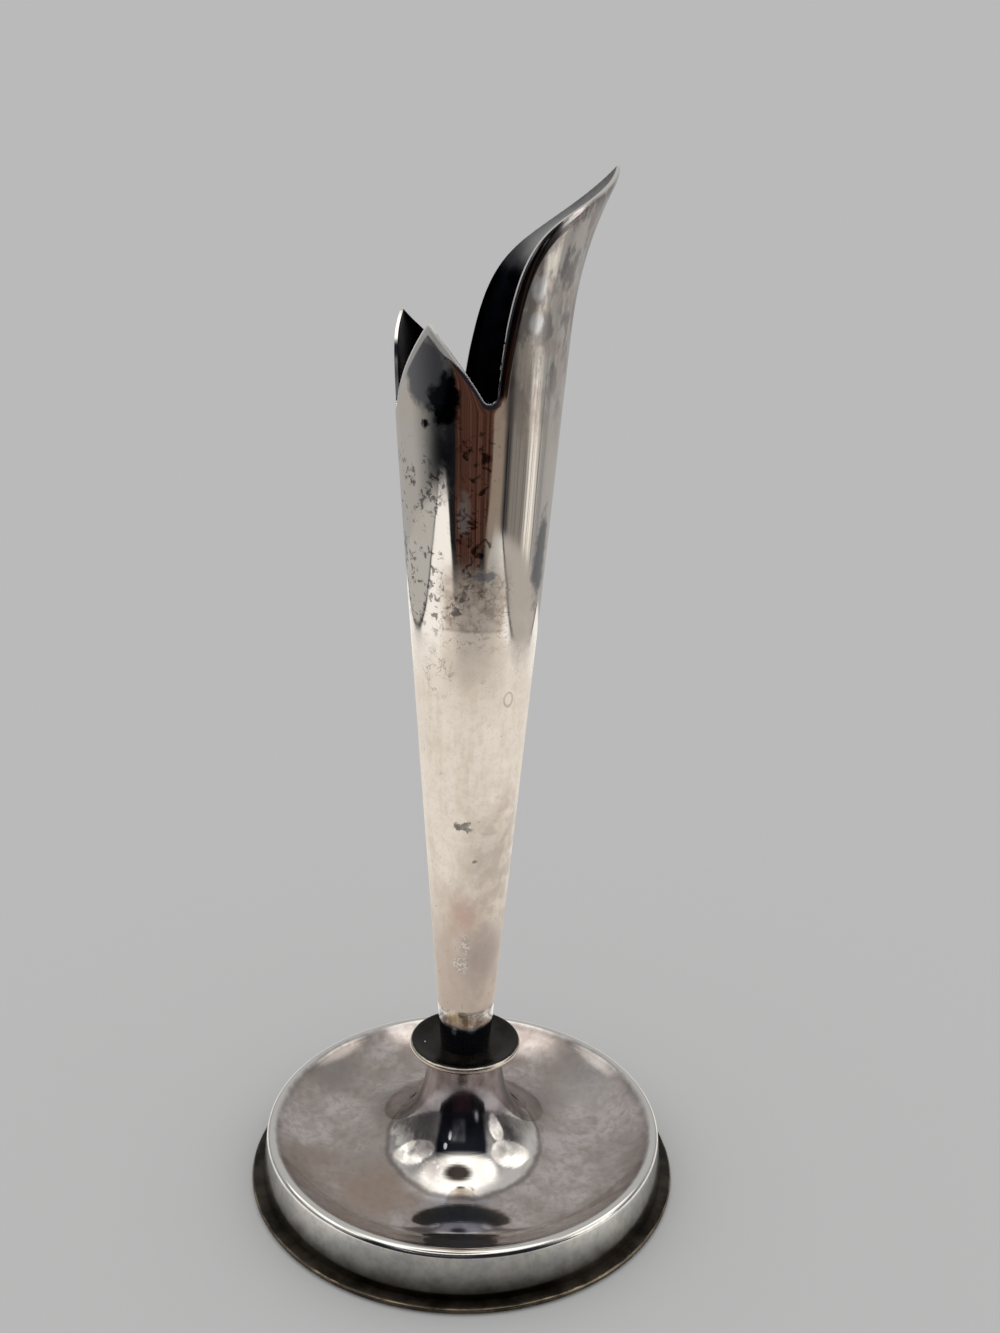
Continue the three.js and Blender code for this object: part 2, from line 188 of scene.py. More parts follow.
class BudVaseStage(bpy.types.PropertyGroup):
    """The camera, the floor and the light tent."""

    camera_distance: length("Camera distance", "Level distance from the vase's axis", 211.1)
    camera_height: length("Camera height", "Height of the camera above the floor", 159.3)
    camera_turn: turn("Camera turn", "Turn of the camera round the vase", -7.7)
    camera_pitch: turn("Camera pitch", "How far the camera looks down", 16.93)
    camera_yaw: turn("Camera yaw", "How far the camera looks to the right of the axis", 1.19)
    camera_roll: turn("Camera roll", "How far the camera leans", 1.58)
    lens: FloatProperty(name="Lens", description="Focal length for a 36 mm frame", default=36.46, unit="CAMERA")
    grey: colour("Studio grey", "Floor and background", 0.491, 0.491, 0.491)
    fill: share("Fill", "Brightness of the soft light from all round", 1.0, 4.0)
    floor_drop: length("Floor drop", "Gap between the floor and the vase's underside", 0.2)
    floor_size: length("Floor size", "Side of the floor", 12000)


def deselect():
    """Leaves object mode with nothing selected."""
    if bpy.context.object and bpy.context.object.mode != "OBJECT":
        bpy.ops.object.mode_set(mode="OBJECT")
    bpy.ops.object.select_all(action="DESELECT")


@contextlib.contextmanager
def editing(select=None):
    """Edit mode on the active piece, with all or nothing selected first where that is asked for."""
    bpy.ops.object.mode_set(mode="EDIT")
    if select:
        bpy.ops.mesh.select_all(action=select)
    yield
    bpy.ops.object.mode_set(mode="OBJECT")


def choose_edges(piece, wanted):
    """Leaves only those edges selected whose two ends are wanted."""
    with editing("DESELECT"):
        bpy.ops.mesh.select_mode(type="EDGE")
    for edge in piece.data.edges:
        edge.select = wanted(edge.vertices)


def named(name):
    """The object that was just added, under its name."""
    made = bpy.context.object
    made.name = made.data.name = name
    return made


def dressed(piece, slot, stands_for, *materials):
    """Gives a finished piece its materials, shading and body, and hides the part that it stands for. The slot is not
    used.
    """
    for material in materials:
        piece.data.materials.append(material)
    bpy.ops.object.shade_smooth_by_angle(angle=SMOOTH_ANGLE)
    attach(piece, "root")
    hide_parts(stands_for)


def arc(centre, radius, start, end, steps):
    """Points of an arc, in degrees from the radius axis."""
    angles = [math.radians(start + (end - start) * i / steps) for i in range(steps + 1)]
    return [Vector((centre[0] + radius * math.cos(a), centre[1] + radius * math.sin(a))) for a in angles]


def sweep(start, first, second, end, steps):
    """Points of a smooth curve that leaves start towards first and reaches end from second."""
    points = []
    for i in range(steps + 1):
        t = i / steps
        weights = ((1 - t) ** 3, 3 * t * (1 - t) ** 2, 3 * t * t * (1 - t), t ** 3)
        corners = zip(weights, (start, first, second, end))
        points.append(sum((weight * Vector(corner) for weight, corner in corners), Vector((0, 0))))
    return points


def spun(name, outline, closed, seat, steps):
    """One vertex drawn out along an outline of (radius, height) points and spun round the vase's axis."""
    outline = [p for i, p in enumerate(outline) if i == 0 or (p - outline[i - 1]).length > MERGE_GAP]
    points = [Vector((p[0], 0, p[1] + seat)) for p in outline]
    if closed:
        points.append(points[0])
    deselect()
    bpy.ops.mesh.primitive_plane_add(size=0.001, location=ORIGIN)
    piece = named(name)
    with editing("SELECT"):
        bpy.ops.mesh.select_mode(type="VERT")
        bpy.ops.mesh.merge(type="CENTER")
        bpy.ops.transform.translate(value=points[0])
        for before, after in zip(points, points[1:]):
            bpy.ops.mesh.extrude_vertices_move(TRANSFORM_OT_translate={"value": after - before})
        bpy.ops.mesh.select_all(action="SELECT")
        bpy.ops.mesh.remove_doubles(threshold=MERGE_GAP / 10)
        bpy.ops.mesh.spin(steps=steps, angle=math.tau, center=ORIGIN, axis=(0, 0, 1))
        bpy.ops.mesh.select_all(action="SELECT")
        bpy.ops.mesh.remove_doubles(threshold=MERGE_GAP)
        bpy.ops.mesh.normals_make_consistent(inside=False)
    return piece


class Field:
    """A number, colour or place that a node puts out, with the sums and ramps that masks are made of."""

    def __init__(self, socket):
        self.socket = socket
        self.tree = socket.id_data

    def math(self, operation, *values):
        return node(self.tree, "ShaderNodeMath", dict(enumerate((self, *values))), operation=operation)

    def __add__(self, other):
        return self.math("ADD", other)

    def __sub__(self, other):
        return self.math("SUBTRACT", other)

    def __rsub__(self, other):
        return node(self.tree, "ShaderNodeMath", {0: other, 1: self}, operation="SUBTRACT")

    def __mul__(self, other):
        return self.math("MULTIPLY", other)

    def __truediv__(self, other):
        return self.math("DIVIDE", other)

    def __pow__(self, other):
        return self.math("POWER", other)

    def __or__(self, other):
        return self.math("MAXIMUM", other)

    def __abs__(self):
        return self.math("ABSOLUTE")

    def vector(self, operation, *values):
        outlet = "Value" if operation in ("LENGTH", "DOT_PRODUCT") else "Vector"
        links = dict(enumerate((self, *values)))
        return node(self.tree, "ShaderNodeVectorMath", links, outlet, operation=operation)

    def split(self):
        """The three coordinates of a place."""
        return [Field(outlet) for outlet in node(self.tree, "ShaderNodeSeparateXYZ", {0: self}).socket.node.outputs]

    def ramp(self, low, high, start=0.0, end=1.0, kind="SMOOTHSTEP"):
        """A smooth step from one number to another, between two levels of this one."""
        links = {0: self, 1: low, 2: high, 3: start, 4: end}
        return node(self.tree, "ShaderNodeMapRange", links, interpolation_type=kind)

    def between(self, below, above):
        """A number that goes from one value to another with this mask."""
        return self.ramp(0.0, 1.0, below, above, "LINEAR")

    def window(self, middle, half, soft):
        """White within a half width of a middle value, with a soft edge."""
        return abs(self - middle).ramp(half + soft, half)

    def mix(self, below, above):
        """One colour laid over another where this mask is white."""
        return node(self.tree, "ShaderNodeMix", {0: self, 6: below, 7: above}, 2, data_type="RGBA")

    def noise(self, outlet=0, **inputs):
        """Noise over a place, or along a plain number."""
        plain = self.socket.type == "VALUE"
        links = {"W" if plain else "Vector": self, **inputs}
        return node(self.tree, "ShaderNodeTexNoise", links, outlet, noise_dimensions="1D" if plain else "3D")


def join(inlet, value):
    """Gives an input a field's link or a plain value. Colours may be written with three numbers."""
    if isinstance(value, Field):
        value.tree.links.new(value.socket, inlet)
    else:
        inlet.default_value = (*value, 1)[:4] if inlet.type == "RGBA" else value


def node(tree, kind, links=None, outlet=0, **settings):
    """A new node with its settings and inputs, as the field that one of its outlets puts out."""
    made = tree.nodes.new(kind)
    for key, value in settings.items():
        setattr(made, key, value)
    for key, value in (links or {}).items():
        join(made.inputs[key], value)
    return Field(made.outputs[outlet])


def fresh_tree(owner, kind="ShaderNodeOutputMaterial"):
    """Empties a material's or world's node tree, and gives the tree and its surface input."""
    owner.use_nodes = True
    owner.node_tree.nodes.clear()
    return owner.node_tree, owner.node_tree.nodes.new(kind).inputs["Surface"]


def film_clouds(where, scale, low, high, distortion):
    """Soft clouds of film: white where the noise is over a level."""
    return where.noise(Scale=scale, Detail=5.0, Roughness=0.58, Distortion=distortion).ramp(low, high)


def specks(where, scale, size, fewness, cluster):
    """Small ragged specks in clusters."""
    nudge = where.noise(1, Scale=scale, Detail=3.0).vector("MULTIPLY", (0.0012, 0.0012, 0.0012))
    cells = {"Vector": where.vector("ADD", nudge), "Scale": scale}
    dots = node(where.tree, "ShaderNodeTexVoronoi", cells, "Distance").ramp(size, size * 0.6, kind="LINEAR")
    return dots * where.noise(Scale=cluster, Detail=2.0).ramp(fewness, fewness + 0.04, kind="LINEAR")


def blotch(where, centre, stretch, radius, soft, ragged, grain):
    """One ragged blotch round a point, stretched along the axes."""
    span = where.vector("SUBTRACT", centre).vector("MULTIPLY", stretch).vector("LENGTH")
    torn = (where.noise(Scale=grain, Detail=4.0, Roughness=0.6) - 0.5) * ragged
    return (span + torn).ramp(radius + soft, radius)


def worn_band(value, where, low, high, ragged, grain):
    """A worn boundary along a height or radius: 0 at Low and 1 at High, with a ragged edge."""
    torn = (where.noise(Scale=grain, Detail=5.0, Roughness=0.6) - 0.5) * ragged
    return (value + torn).ramp(low, high)


def wrinkles(where, scale, width):
    """Thin wandering lines, like the edges of dried drops and wrinkled film."""
    return abs(where.noise(Scale=scale, Detail=4.0, Roughness=0.6, Distortion=0.4) - 0.5).ramp(width, 0.0)


def spinning_lines(value, where, scale):
    """Fine rings left by the spinning lathe, as a height for bump."""
    return (value * scale).noise(Scale=1.0, Detail=3.0) * where.noise(Scale=90.0, Detail=2.0)


GROUPS = {
    "Film Clouds": (film_clouds, "Mask", dict(Vector=ORIGIN, Scale=100, Low=0.4, High=0.6, Distortion=0.0)),
    "Specks": (specks, "Mask", dict(Vector=ORIGIN, Scale=900, Size=0.35, Share=0.5, Cluster=150)),
    "Blotch": (blotch, "Mask", dict(Vector=ORIGIN, Centre=ORIGIN, Stretch=(1, 1, 1), Radius=0.004, Soft=0.001,
                                    Ragged=0.003, Grain=400)),
    "Worn Band": (worn_band, "Mask", dict(Value=0, Vector=ORIGIN, Low=0, High=1, Ragged=0.001, Grain=300)),
    "Wrinkles": (wrinkles, "Mask", dict(Vector=ORIGIN, Scale=300, Width=0.02)),
    "Spinning Lines": (spinning_lines, "Height", dict(Value=0, Vector=ORIGIN, Scale=4000)),
}


def shared(name):
    """A shared effect's node group, built at its first use."""
    tree = bpy.data.node_groups.get(name)
    if tree is None:
        paint, outlet, inputs = GROUPS[name]
        tree = bpy.data.node_groups.new(name, "ShaderNodeTree")
        for label, default in inputs.items():
            kind = "NodeSocketVector" if isinstance(default, tuple) else "NodeSocketFloat"
            tree.interface.new_socket(label, in_out="INPUT", socket_type=kind).default_value = default
        tree.interface.new_socket(outlet, in_out="OUTPUT", socket_type="NodeSocketFloat")
        given = tree.nodes.new("NodeGroupInput").outputs
        made = paint(*(Field(given[label]) for label in inputs))
        join(tree.nodes.new("NodeGroupOutput").inputs[outlet], made)
    return tree


class Coat:
    """A material with one Principled shader, laid up colour by colour over the piece's own coordinates."""

    def __init__(self, name, tone):
        self.material = bpy.data.materials.new(name)
        self.tree, surface = fresh_tree(self.material)
        self.shader = self.tree.nodes.new("ShaderNodeBsdfPrincipled")
        join(surface, Field(self.shader.outputs[0]))
        self.where = node(self.tree, "ShaderNodeTexCoord", None, "Object")
        self.x, y, self.height = self.where.split()
        self.radius = (self.x ** 2.0 + y ** 2.0).math("SQRT")
        self.tone = tone

    def group(self, name, *values):
        """A shared effect with its own values."""
        return node(self.tree, "ShaderNodeGroup", dict(enumerate(values)), node_tree=shared(name))

    def cloud(self, scale, low, high, distortion=0.0, upright=1.0):
        """Clouds of film, drawn out upwards where upright is under 1."""
        where = self.where if upright == 1.0 else self.where.vector("MULTIPLY", (1, 1, upright))
        return self.group("Film Clouds", where, scale, low, high, distortion)

    def spot(self, centre, stretch, radius, soft, ragged, grain):
        """One ragged blotch."""
        return self.group("Blotch", self.where, centre, stretch, radius, soft, ragged, grain)

    def band(self, low, high, ragged, grain, value=None):
        """A worn boundary along the height, or along another value."""
        return self.group("Worn Band", value or self.height, self.where, low, high, ragged, grain)

    def lines(self, scale):
        """The rings of the spinning lathe."""
        return self.group("Spinning Lines", self.radius, self.where, scale)

    def facing(self, degrees):
        """Cosine of the turn away from a direction, in degrees round from the tall petal."""
        heading = (math.cos(math.radians(degrees)), math.sin(math.radians(degrees)), 0)
        return self.where.vector("DOT_PRODUCT", heading) / self.radius

    def lay(self, mask, tone):
        """Lays a colour over the coat where the mask is white."""
        self.tone = mask.mix(self.tone, tone)

    def lay_spots(self, ragged, grain, *rows):
        """Lays blotches one after another: centre, stretch, radius, softness, strength and colour."""
        for centre, stretch, radius, soft, strength, tone in rows:
            self.lay(self.spot(centre, stretch, radius, soft, ragged, grain) * strength, tone)

    def finish(self, rough, metal, relief=None, strength=0.1, distance=0.0002):
        """Wires the coat to its shader, with a bump where there is a relief, and gives the material."""
        values = {"Base Color": self.tone, "Roughness": rough, "Metallic": metal}
        if relief:
            bump = {"Strength": strength, "Distance": distance, "Height": relief}
            values["Normal"] = node(self.tree, "ShaderNodeBump", bump)
        for label, value in values.items():
            join(self.shader.inputs[label], value)
        return self.material


def lay_haze(coat, hazy, fine):
    """The cream film's flecks, streaks, stains and dark marks, with painted shade towards its bottom and down its
    right side.
    """
    cloud, spot, lay = coat.cloud, coat.spot, coat.lay
    lay(fine * hazy * 0.22, (0.72, 0.58, 0.47))
    lay(cloud(1700, 0.50, 0.66) * hazy * 0.18, (0.50, 0.41, 0.34))
    lay(cloud(420, 0.47, 0.60, upright=0.16) * hazy * fine.between(0.20, 0.50), (0.74, 0.61, 0.46))
    # Painted shade: the haze darkens to pinkish brown towards its bottom.
    lay(coat.band(0.066, 0.043, 0.02, 220) * hazy * 0.67, (0.50, 0.38, 0.31))
    coat.lay_spots(
        0.003, 300,
        ((-0.0016, -0.0063, 0.0529), (1, 1, 0.6), 0.0002, 0.0032, 0.42, (0.56, 0.27, 0.20)),
        ((0.0022, -0.0055, 0.0451), (1, 1, 0.6), 0.0002, 0.0052, 0.55, (0.26, 0.21, 0.20)),
        ((0.0030, -0.0075, 0.0640), (1, 1, 0.6), 0.0002, 0.0070, 0.50, (0.45, 0.38, 0.32)),
    )
    lay(hazy * cloud(1150, 0.64, 0.70) * cloud(150, 0.46, 0.54) * 0.6, (0.33, 0.28, 0.23))
    # Painted shade with brown mottling down the right side of the haze.
    shaded = hazy * coat.facing(318).ramp(0.25, 0.95) * cloud(360, 0.38, 0.60) * coat.band(0.080, 0.066, 0.03, 140)
    lay(shaded * 0.5, (0.46, 0.37, 0.30))
    marks = (spot((-0.0023, -0.0075, 0.0699), (0.7, 1, 1.4), 0.0008, 0.0007, 0.0040, 1100)
             | spot((0.0000, -0.0073, 0.0634), (1, 1, 1.6), 0.0001, 0.0005, 0.0020, 900))
    lay(marks * fine.between(0.9, 0.5), (0.11, 0.092, 0.075))


def lay_tall_petal(coat):
    """Smoke and rose film on the tall petal, with two painted highlights. Gives the petal's mask."""
    petal = (coat.band(0.128, 0.150, 0.016, 220) * coat.facing(335).ramp(0.35, 0.6)
             * coat.facing(300).ramp(0.60, 0.80, 0.35, 1.0))
    coat.lay(petal * coat.cloud(430, 0.42, 0.58, upright=0.45).between(0.12, 0.70), (0.20, 0.20, 0.215))
    coat.lay(petal * coat.cloud(215, 0.50, 0.60) * 0.45, (0.62, 0.50, 0.49))
    # Painted highlights: two bluish-white spots high on the tall petal.
    painted_highlights = (coat.spot((0.0066, -0.0131, 0.1550), (1, 1, 0.7), 0.0007, 0.0010, 0.0012, 500)
             | coat.spot((0.0064, -0.0124, 0.1499), (1, 1, 0.8), 0.0007, 0.0010, 0.0012, 500))
    coat.lay(painted_highlights, (0.86, 0.89, 0.93))
    return petal


def lay_dried_film(coat, front, fine):
    """Wrinkled film with painted highlights along its creases, and the brown water line half way up. Gives the brown
    film's mask.
    """
    band, spot, lay = coat.band, coat.spot, coat.lay
    creases_and_painted_highlights = (spot((-0.0012, -0.0060, 0.0474), (1.4, 1, 0.6), 0.0006, 0.0010, 0.0010, 500)
               | spot((-0.0019, -0.0055, 0.0434), (1, 1, 0.8), 0.0009, 0.0010, 0.0010, 500))
    lay(creases_and_painted_highlights * 0.35, (0.40, 0.33, 0.28))
    # Painted highlights: pale lines along the creases of the wrinkled film.
    lay(creases_and_painted_highlights * coat.group("Wrinkles", coat.where, 900, 0.05) * 0.8, (0.95, 0.88, 0.80))
    central = band(0.84, 0.93, 0.12, 260, front)
    below = band(0.088, 0.099, 0.010, 240) * band(0.1042, 0.1036, 0.0006, 300)
    lay(below * central * 0.45, (0.47, 0.38, 0.30))
    brown = band(0.1032, 0.1038, 0.0006, 300) * band(0.117, 0.109, 0.008, 260) * central
    lay(brown * fine.between(0.55, 0.95), (0.35, 0.275, 0.21))
    dried = (coat.height.window(0.1065, 0.0045, 0.003) * front.ramp(0.80, 0.92)
             | spot((-0.0070, -0.0072, 0.0965), (1, 1, 0.8), 0.0025, 0.0015, 0.003, 300))
    lay(coat.group("Wrinkles", coat.where, 420, 0.022) * dried * 0.65, (0.22, 0.17, 0.135))
    ring = spot((0.0046, -0.0084, 0.0919), (1, 1, 0.7), 0.0009, 0.00015, 0.0005, 600)
    hole = spot((0.0046, -0.0084, 0.0920), (1, 1, 0.7), 0.0006, 0.00015, 0.0005, 600)
    lay((ring - hole | 0.0) * 0.5, (0.36, 0.31, 0.26))
    return brown


def lay_tarnish(coat, finish, front):
    """Dusk, blotches, smears and flakes below the mouth. Gives the masks of the dusk, blotches and smears."""
    band, cloud, spot, lay = coat.band, coat.cloud, coat.spot, coat.lay
    dusk = spot((-0.0094, -0.0096, 0.1425), (1, 1, 0.75), 0.0032, 0.0016, 0.0030, 380) * 0.88
    lower = spot((-0.0064, -0.0106, 0.1310), (1, 1, 0.38), 0.0008, 0.0026, 0.0020, 420) * 0.48
    lay(dusk | lower, (0.105, 0.115, 0.140))
    blotches = (spot((-0.0067, -0.0112, 0.1385), (1, 1, 0.62), 0.0020, 0.0011, 0.0042, 430)
                | spot((-0.0093, -0.0094, 0.1352), (1, 1, 0.9), 0.0004, 0.0006, 0.0026, 600))
    smears = (spot((0.0091, -0.0065, 0.1145), (1, 1, 0.28), 0.0012, 0.0015, 0.0034, 420) * 0.85
              | spot((-0.0002, -0.0112, 0.1126), (0.6, 1, 1.7), 0.0008, 0.0010, 0.0042, 640) * 0.75
              | spot((-0.0034, -0.0114, 0.1222), (1, 1, 0.30), 0.0003, 0.0010, 0.0022, 600) * 0.5)
    lay(smears, (0.115, 0.118, 0.140))
    spread = (cloud(880, 0.51, 0.60, 0.6) * cloud(230, 0.47, 0.53) * coat.facing(222).ramp(0.62, 0.74)
              * band(0.100, 0.106, 0.008, 200) * band(0.134, 0.128, 0.008, 200) * 0.85)
    strip = (cloud(560, 0.52, 0.62, 0.6) * front.ramp(0.955, 0.985)
             * band(0.106, 0.112, 0.006, 200) * band(0.137, 0.133, 0.004, 200))
    lay((spread | strip) * 0.9, (0.060, 0.056, 0.058))
    lay(blotches, finish.tarnish)
    return dusk, blotches, smears


def lay_rim(coat, finish, front):
    """The pale border of the front petal, and painted shade along the tall petal's rolled lip. Gives the border's
    mask.
    """
    height, lay = coat.height, coat.lay
    gap = node(coat.tree, "ShaderNodeAttribute", None, "Fac", attribute_name=RIM_GAP)
    narrowed = front.ramp(0.90, 0.96) * height.ramp(0.1470, 0.1425) * 0.0009
    border = (gap - (0.0010 - narrowed)).ramp(0.00015, -0.00015) * coat.facing(224).ramp(0.66, 0.72)
    lay(border * 0.9, (0.50, 0.50, 0.49))
    along = coat.facing(318).ramp(0.64, 0.70) * height.ramp(0.1386, 0.1400)
    # Painted shade: a dark band and a thin brown line just inside the tall petal's rolled lip.
    lay(along * gap.window(0.00082, 0.00050, 0.00012) * height.ramp(0.166, 0.160) * 0.95, (0.020, 0.014, 0.014))
    lay(along * gap.window(0.00088, 0.00005, 0.00012) * height.ramp(0.152, 0.146) * 0.8, (0.30, 0.17, 0.13))
    lay(gap.ramp(0.00030, 0.00015), finish.silver)
    return border


def lay_foot(coat):
    """The bare foot under the haze: grey clouds, a painted dark reflection at its bottom, worn patches and a painted
    white highlight. Gives the dark reflection's mask.
    """
    coat.lay(coat.height.window(0.0334, 0.0002, 0.0003) * coat.cloud(300, 0.44, 0.58) * 0.6, (0.10, 0.09, 0.08))
    coat.lay(coat.height.ramp(0.0336, 0.0330) * coat.cloud(620, 0.38, 0.56) * 0.85, (0.42, 0.41, 0.40))
    # Painted reflection: blue-black at the foot's bottom, where the plate mirrors something dark.
    dark_foot_reflection = coat.band(0.0312, 0.0300, 0.0014, 500)
    coat.lay(dark_foot_reflection, (0.022, 0.024, 0.032))
    coat.lay_spots(
        0.0012, 700,
        ((-0.0026, -0.0040, 0.0325), (1, 1, 0.9), 0.0010, 0.0006, 0.85, (0.80, 0.72, 0.55)),
        ((-0.0013, -0.0048, 0.0333), (1, 1, 1.2), 0.0004, 0.0006, 0.85, (0.20, 0.16, 0.11)),
        ((-0.0006, -0.0048, 0.0318), (1.4, 1, 0.6), 0.0003, 0.0006, 0.80, (0.34, 0.26, 0.17)),
        # Painted highlight: a white spot on the right of the foot.
        ((0.0027, -0.0041, 0.0320), (0.7, 1, 1.5), 0.0006, 0.0005, 0.95, (0.97, 0.97, 0.96)),
        ((-0.0025, -0.0040, 0.0298), (1.3, 1, 0.7), 0.0002, 0.0006, 0.70, (0.33, 0.36, 0.40)),
        ((0.0006, -0.0047, 0.0300), (0.8, 1, 1.2), 0.0002, 0.0008, 0.60, (0.30, 0.36, 0.44)),
    )
    return dark_foot_reflection


def trumpet_material(finish):
    """Polished plate at the mouth with blue-black blotches, cream haze below and a bright foot."""
    coat = Coat("trumpet_plate", finish.silver)
    hazy = coat.band(0.106, 0.090, 0.02, 160) * coat.band(0.0330, 0.0337, 0.0016, 600)
    broad, fine = coat.cloud(140, 0.42, 0.66), coat.cloud(640, 0.36, 0.72)
    front = coat.facing(262)
    coat.lay(hazy, finish.haze)
    coat.lay(broad * 0.34, (0.86, 0.76, 0.64))
    lay_haze(coat, hazy, fine)
    petal = lay_tall_petal(coat)
    brown = lay_dried_film(coat, front, fine)
    dusk, blotches, smears = lay_tarnish(coat, finish, front)
    border = lay_rim(coat, finish, front)
    dark_foot_reflection = lay_foot(coat)
    rough = hazy.between(0.05, 0.38) + broad * 0.05 + petal * 0.08 + (blotches | brown) * 0.05
    metal = (hazy | border * 0.61 | dusk * 0.27 | dark_foot_reflection * 0.15 | smears * 0.37).between(1.0, 0.06)
    return coat.finish(rough, metal, coat.where.noise(Scale=55.0, Detail=2.0), 0.05, 0.002)


def inside_material(finish):
    """Blue-black tarnish inside the trumpet that thins to dull grey plate at the tall tip."""
    coat = Coat("trumpet_inside", (0.008, 0.009, 0.013))
    bare = coat.band(0.1555, 0.1635, 0.003, 240)
    clouds = coat.cloud(420, 0.4, 0.7)
    coat.lay(clouds, finish.tarnish)
    tip = clouds.mix((0.145, 0.145, 0.147), (0.20, 0.20, 0.20))
    coat.lay(bare, coat.height.ramp(0.163, 0.170).mix((0.33, 0.33, 0.335), tip))
    return coat.finish(clouds.between(0.24, 0.34) + bare * 0.25, bare.between(1.0, 0.25))


def base_material(finish):
    """Bright bell and shoulder, a mottled grey film in the dish with painted reflections of the collar beside the neck
    and a painted highlight at the back right, and olive stains low on the skirt.
    """
    coat = Coat("base_plate", finish.silver)
    height, radius, lay = coat.height, coat.radius, coat.lay
    broad, middle, fine = coat.cloud(75, 0.36, 0.64), coat.cloud(210, 0.40, 0.62), coat.cloud(620, 0.44, 0.64)
    bell, flat = (-0.0004, -0.0037, 0), (1, 1, 0)
    polished = coat.spot(bell, flat, 0.0128, 0.0012, 0.0016, 240)
    fringe = coat.spot(bell, flat, 0.0134, 0.0010, 0.0016, 240) - polished | 0.0
    filmed = 1.0 - polished
    film = broad.mix(finish.dish_film, (0.68, 0.62, 0.60))
    film = (middle * 0.55).mix(film, (0.43, 0.36, 0.32))
    film = (fine * 0.42).mix(film, (0.36, 0.29, 0.25))
    # Film stains in the dish, except three: the pale patch at the back right is a painted highlight, and the two mauve
    # patches beside the neck are painted reflections of the collar.
    for x, y, strength, stain_and_painted_light in (
        (0.0250, 0.0100, 0.30, (0.80, 0.77, 0.74)), (0.0280, 0.0170, 0.55, (0.38, 0.36, 0.35)),
        (-0.0235, 0.0217, 0.70, (0.32, 0.29, 0.275)), (-0.0028, -0.0215, 0.85, (0.36, 0.40, 0.48)),
        (-0.0105, 0.0117, 0.45, (0.27, 0.245, 0.255)), (0.0142, 0.0095, 0.45, (0.27, 0.245, 0.255)),
        (-0.0280, -0.0060, 0.60, (0.35, 0.275, 0.22)), (0.0270, -0.0096, 0.40, (0.33, 0.285, 0.26)),
        (-0.0165, -0.0130, 0.60, (0.43, 0.32, 0.25)),
    ):
        film = (coat.spot((x, y, 0), flat, 0.002, 0.007, 0.006, 130) * strength).mix(film, stain_and_painted_light)
    lay(middle * 0.5, (0.56, 0.54, 0.53))
    smudged = coat.x.ramp(-0.002, -0.007) * coat.cloud(330, 0.42, 0.58) * height.ramp(0.0055, 0.0080)
    lay(smudged * 0.75, (0.22, 0.20, 0.195))
    lay(filmed, film)
    lay(fringe * 0.9, (0.13, 0.12, 0.12))
    necked = coat.band(0.0100, 0.0142, 0.004, 300)
    lay(necked, middle.mix((0.235, 0.215, 0.225), (0.34, 0.315, 0.325)))
    flanks = height.window(0.0118, 0.0022, 0.0020) * abs(coat.x).ramp(0.0040, 0.0065)
    lay(flanks * middle.between(0.45, 0.85), (0.15, 0.135, 0.14))
    shoulder = coat.band(0.0330, 0.0342, 0.0008, 500, radius)
    lay(shoulder, (0.82, 0.80, 0.76))
    skirt = radius.ramp(0.0346, 0.0352)
    lay(skirt * middle * 0.65, (0.62, 0.64, 0.65))
    lay(skirt * fine * 0.3, (0.42, 0.42, 0.40))
    lay(skirt * coat.band(0.0058, 0.0016, 0.0052, 170) * 0.92, (0.13, 0.11, 0.085))
    rough = filmed.between(0.04, 0.055) + broad * filmed * 0.04 + necked * 0.08 + skirt * 0.08
    metal = (filmed * (1.0 - shoulder)).between(1.0, 0.95)
    return coat.finish(rough, metal, coat.lines(3000), 0.03, 0.0003)


def collar_material(finish):
    """Dark olive film on the saucer, worn to a pale rim."""
    coat = Coat("collar_plate", finish.collar_dark)
    clouds = coat.cloud(420, 0.4, 0.7)
    rim = coat.band(0.00945, 0.00965, 0.0003, 800, coat.radius)
    coat.lay(clouds, (0.024, 0.020, 0.015))
    coat.lay(rim, (0.60, 0.54, 0.47))
    fleck = coat.spot((-0.0071, 0.0007, 0.0251), (1, 1, 1), 0.00012, 0.00012, 0.0003, 2000)
    coat.lay(fleck, (0.90, 0.90, 0.88))
    coat.shader.inputs["Specular IOR Level"].default_value = 0.2
    rough = rim.between(0.26, 0.18) + clouds * 0.12
    return coat.finish(rough, rim.between(0.45, 1.0), coat.lines(6000), 0.08, 0.0002)


def foot_material():
    """Dark film on the flange, worn thin along its edge."""
    coat = Coat("foot_plate", (0.020, 0.017, 0.014))
    clouds = coat.cloud(260, 0.38, 0.66)
    edge = coat.band(0.0377, 0.0379, 0.0005, 350, coat.radius)
    coat.lay(clouds, (0.060, 0.050, 0.040))
    coat.lay(edge * coat.cloud(150, 0.42, 0.6).between(0.35, 0.9), (0.46, 0.38, 0.27))
    return coat.finish(edge.between(0.30, 0.26) + clouds * 0.1, 1.0, coat.lines(3000), 0.08, 0.0003)


def dull_metal(name, tone, dark, roughness, lines):
    """Unplated metal with clouds of oxide and turning lines."""
    coat = Coat(name, tone)
    clouds = coat.cloud(300, 0.42, 0.72)
    coat.lay(clouds, dark)
    return coat.finish(clouds.between(roughness, roughness + 0.15), 1.0, coat.lines(lines), 0.12, 0.0003)


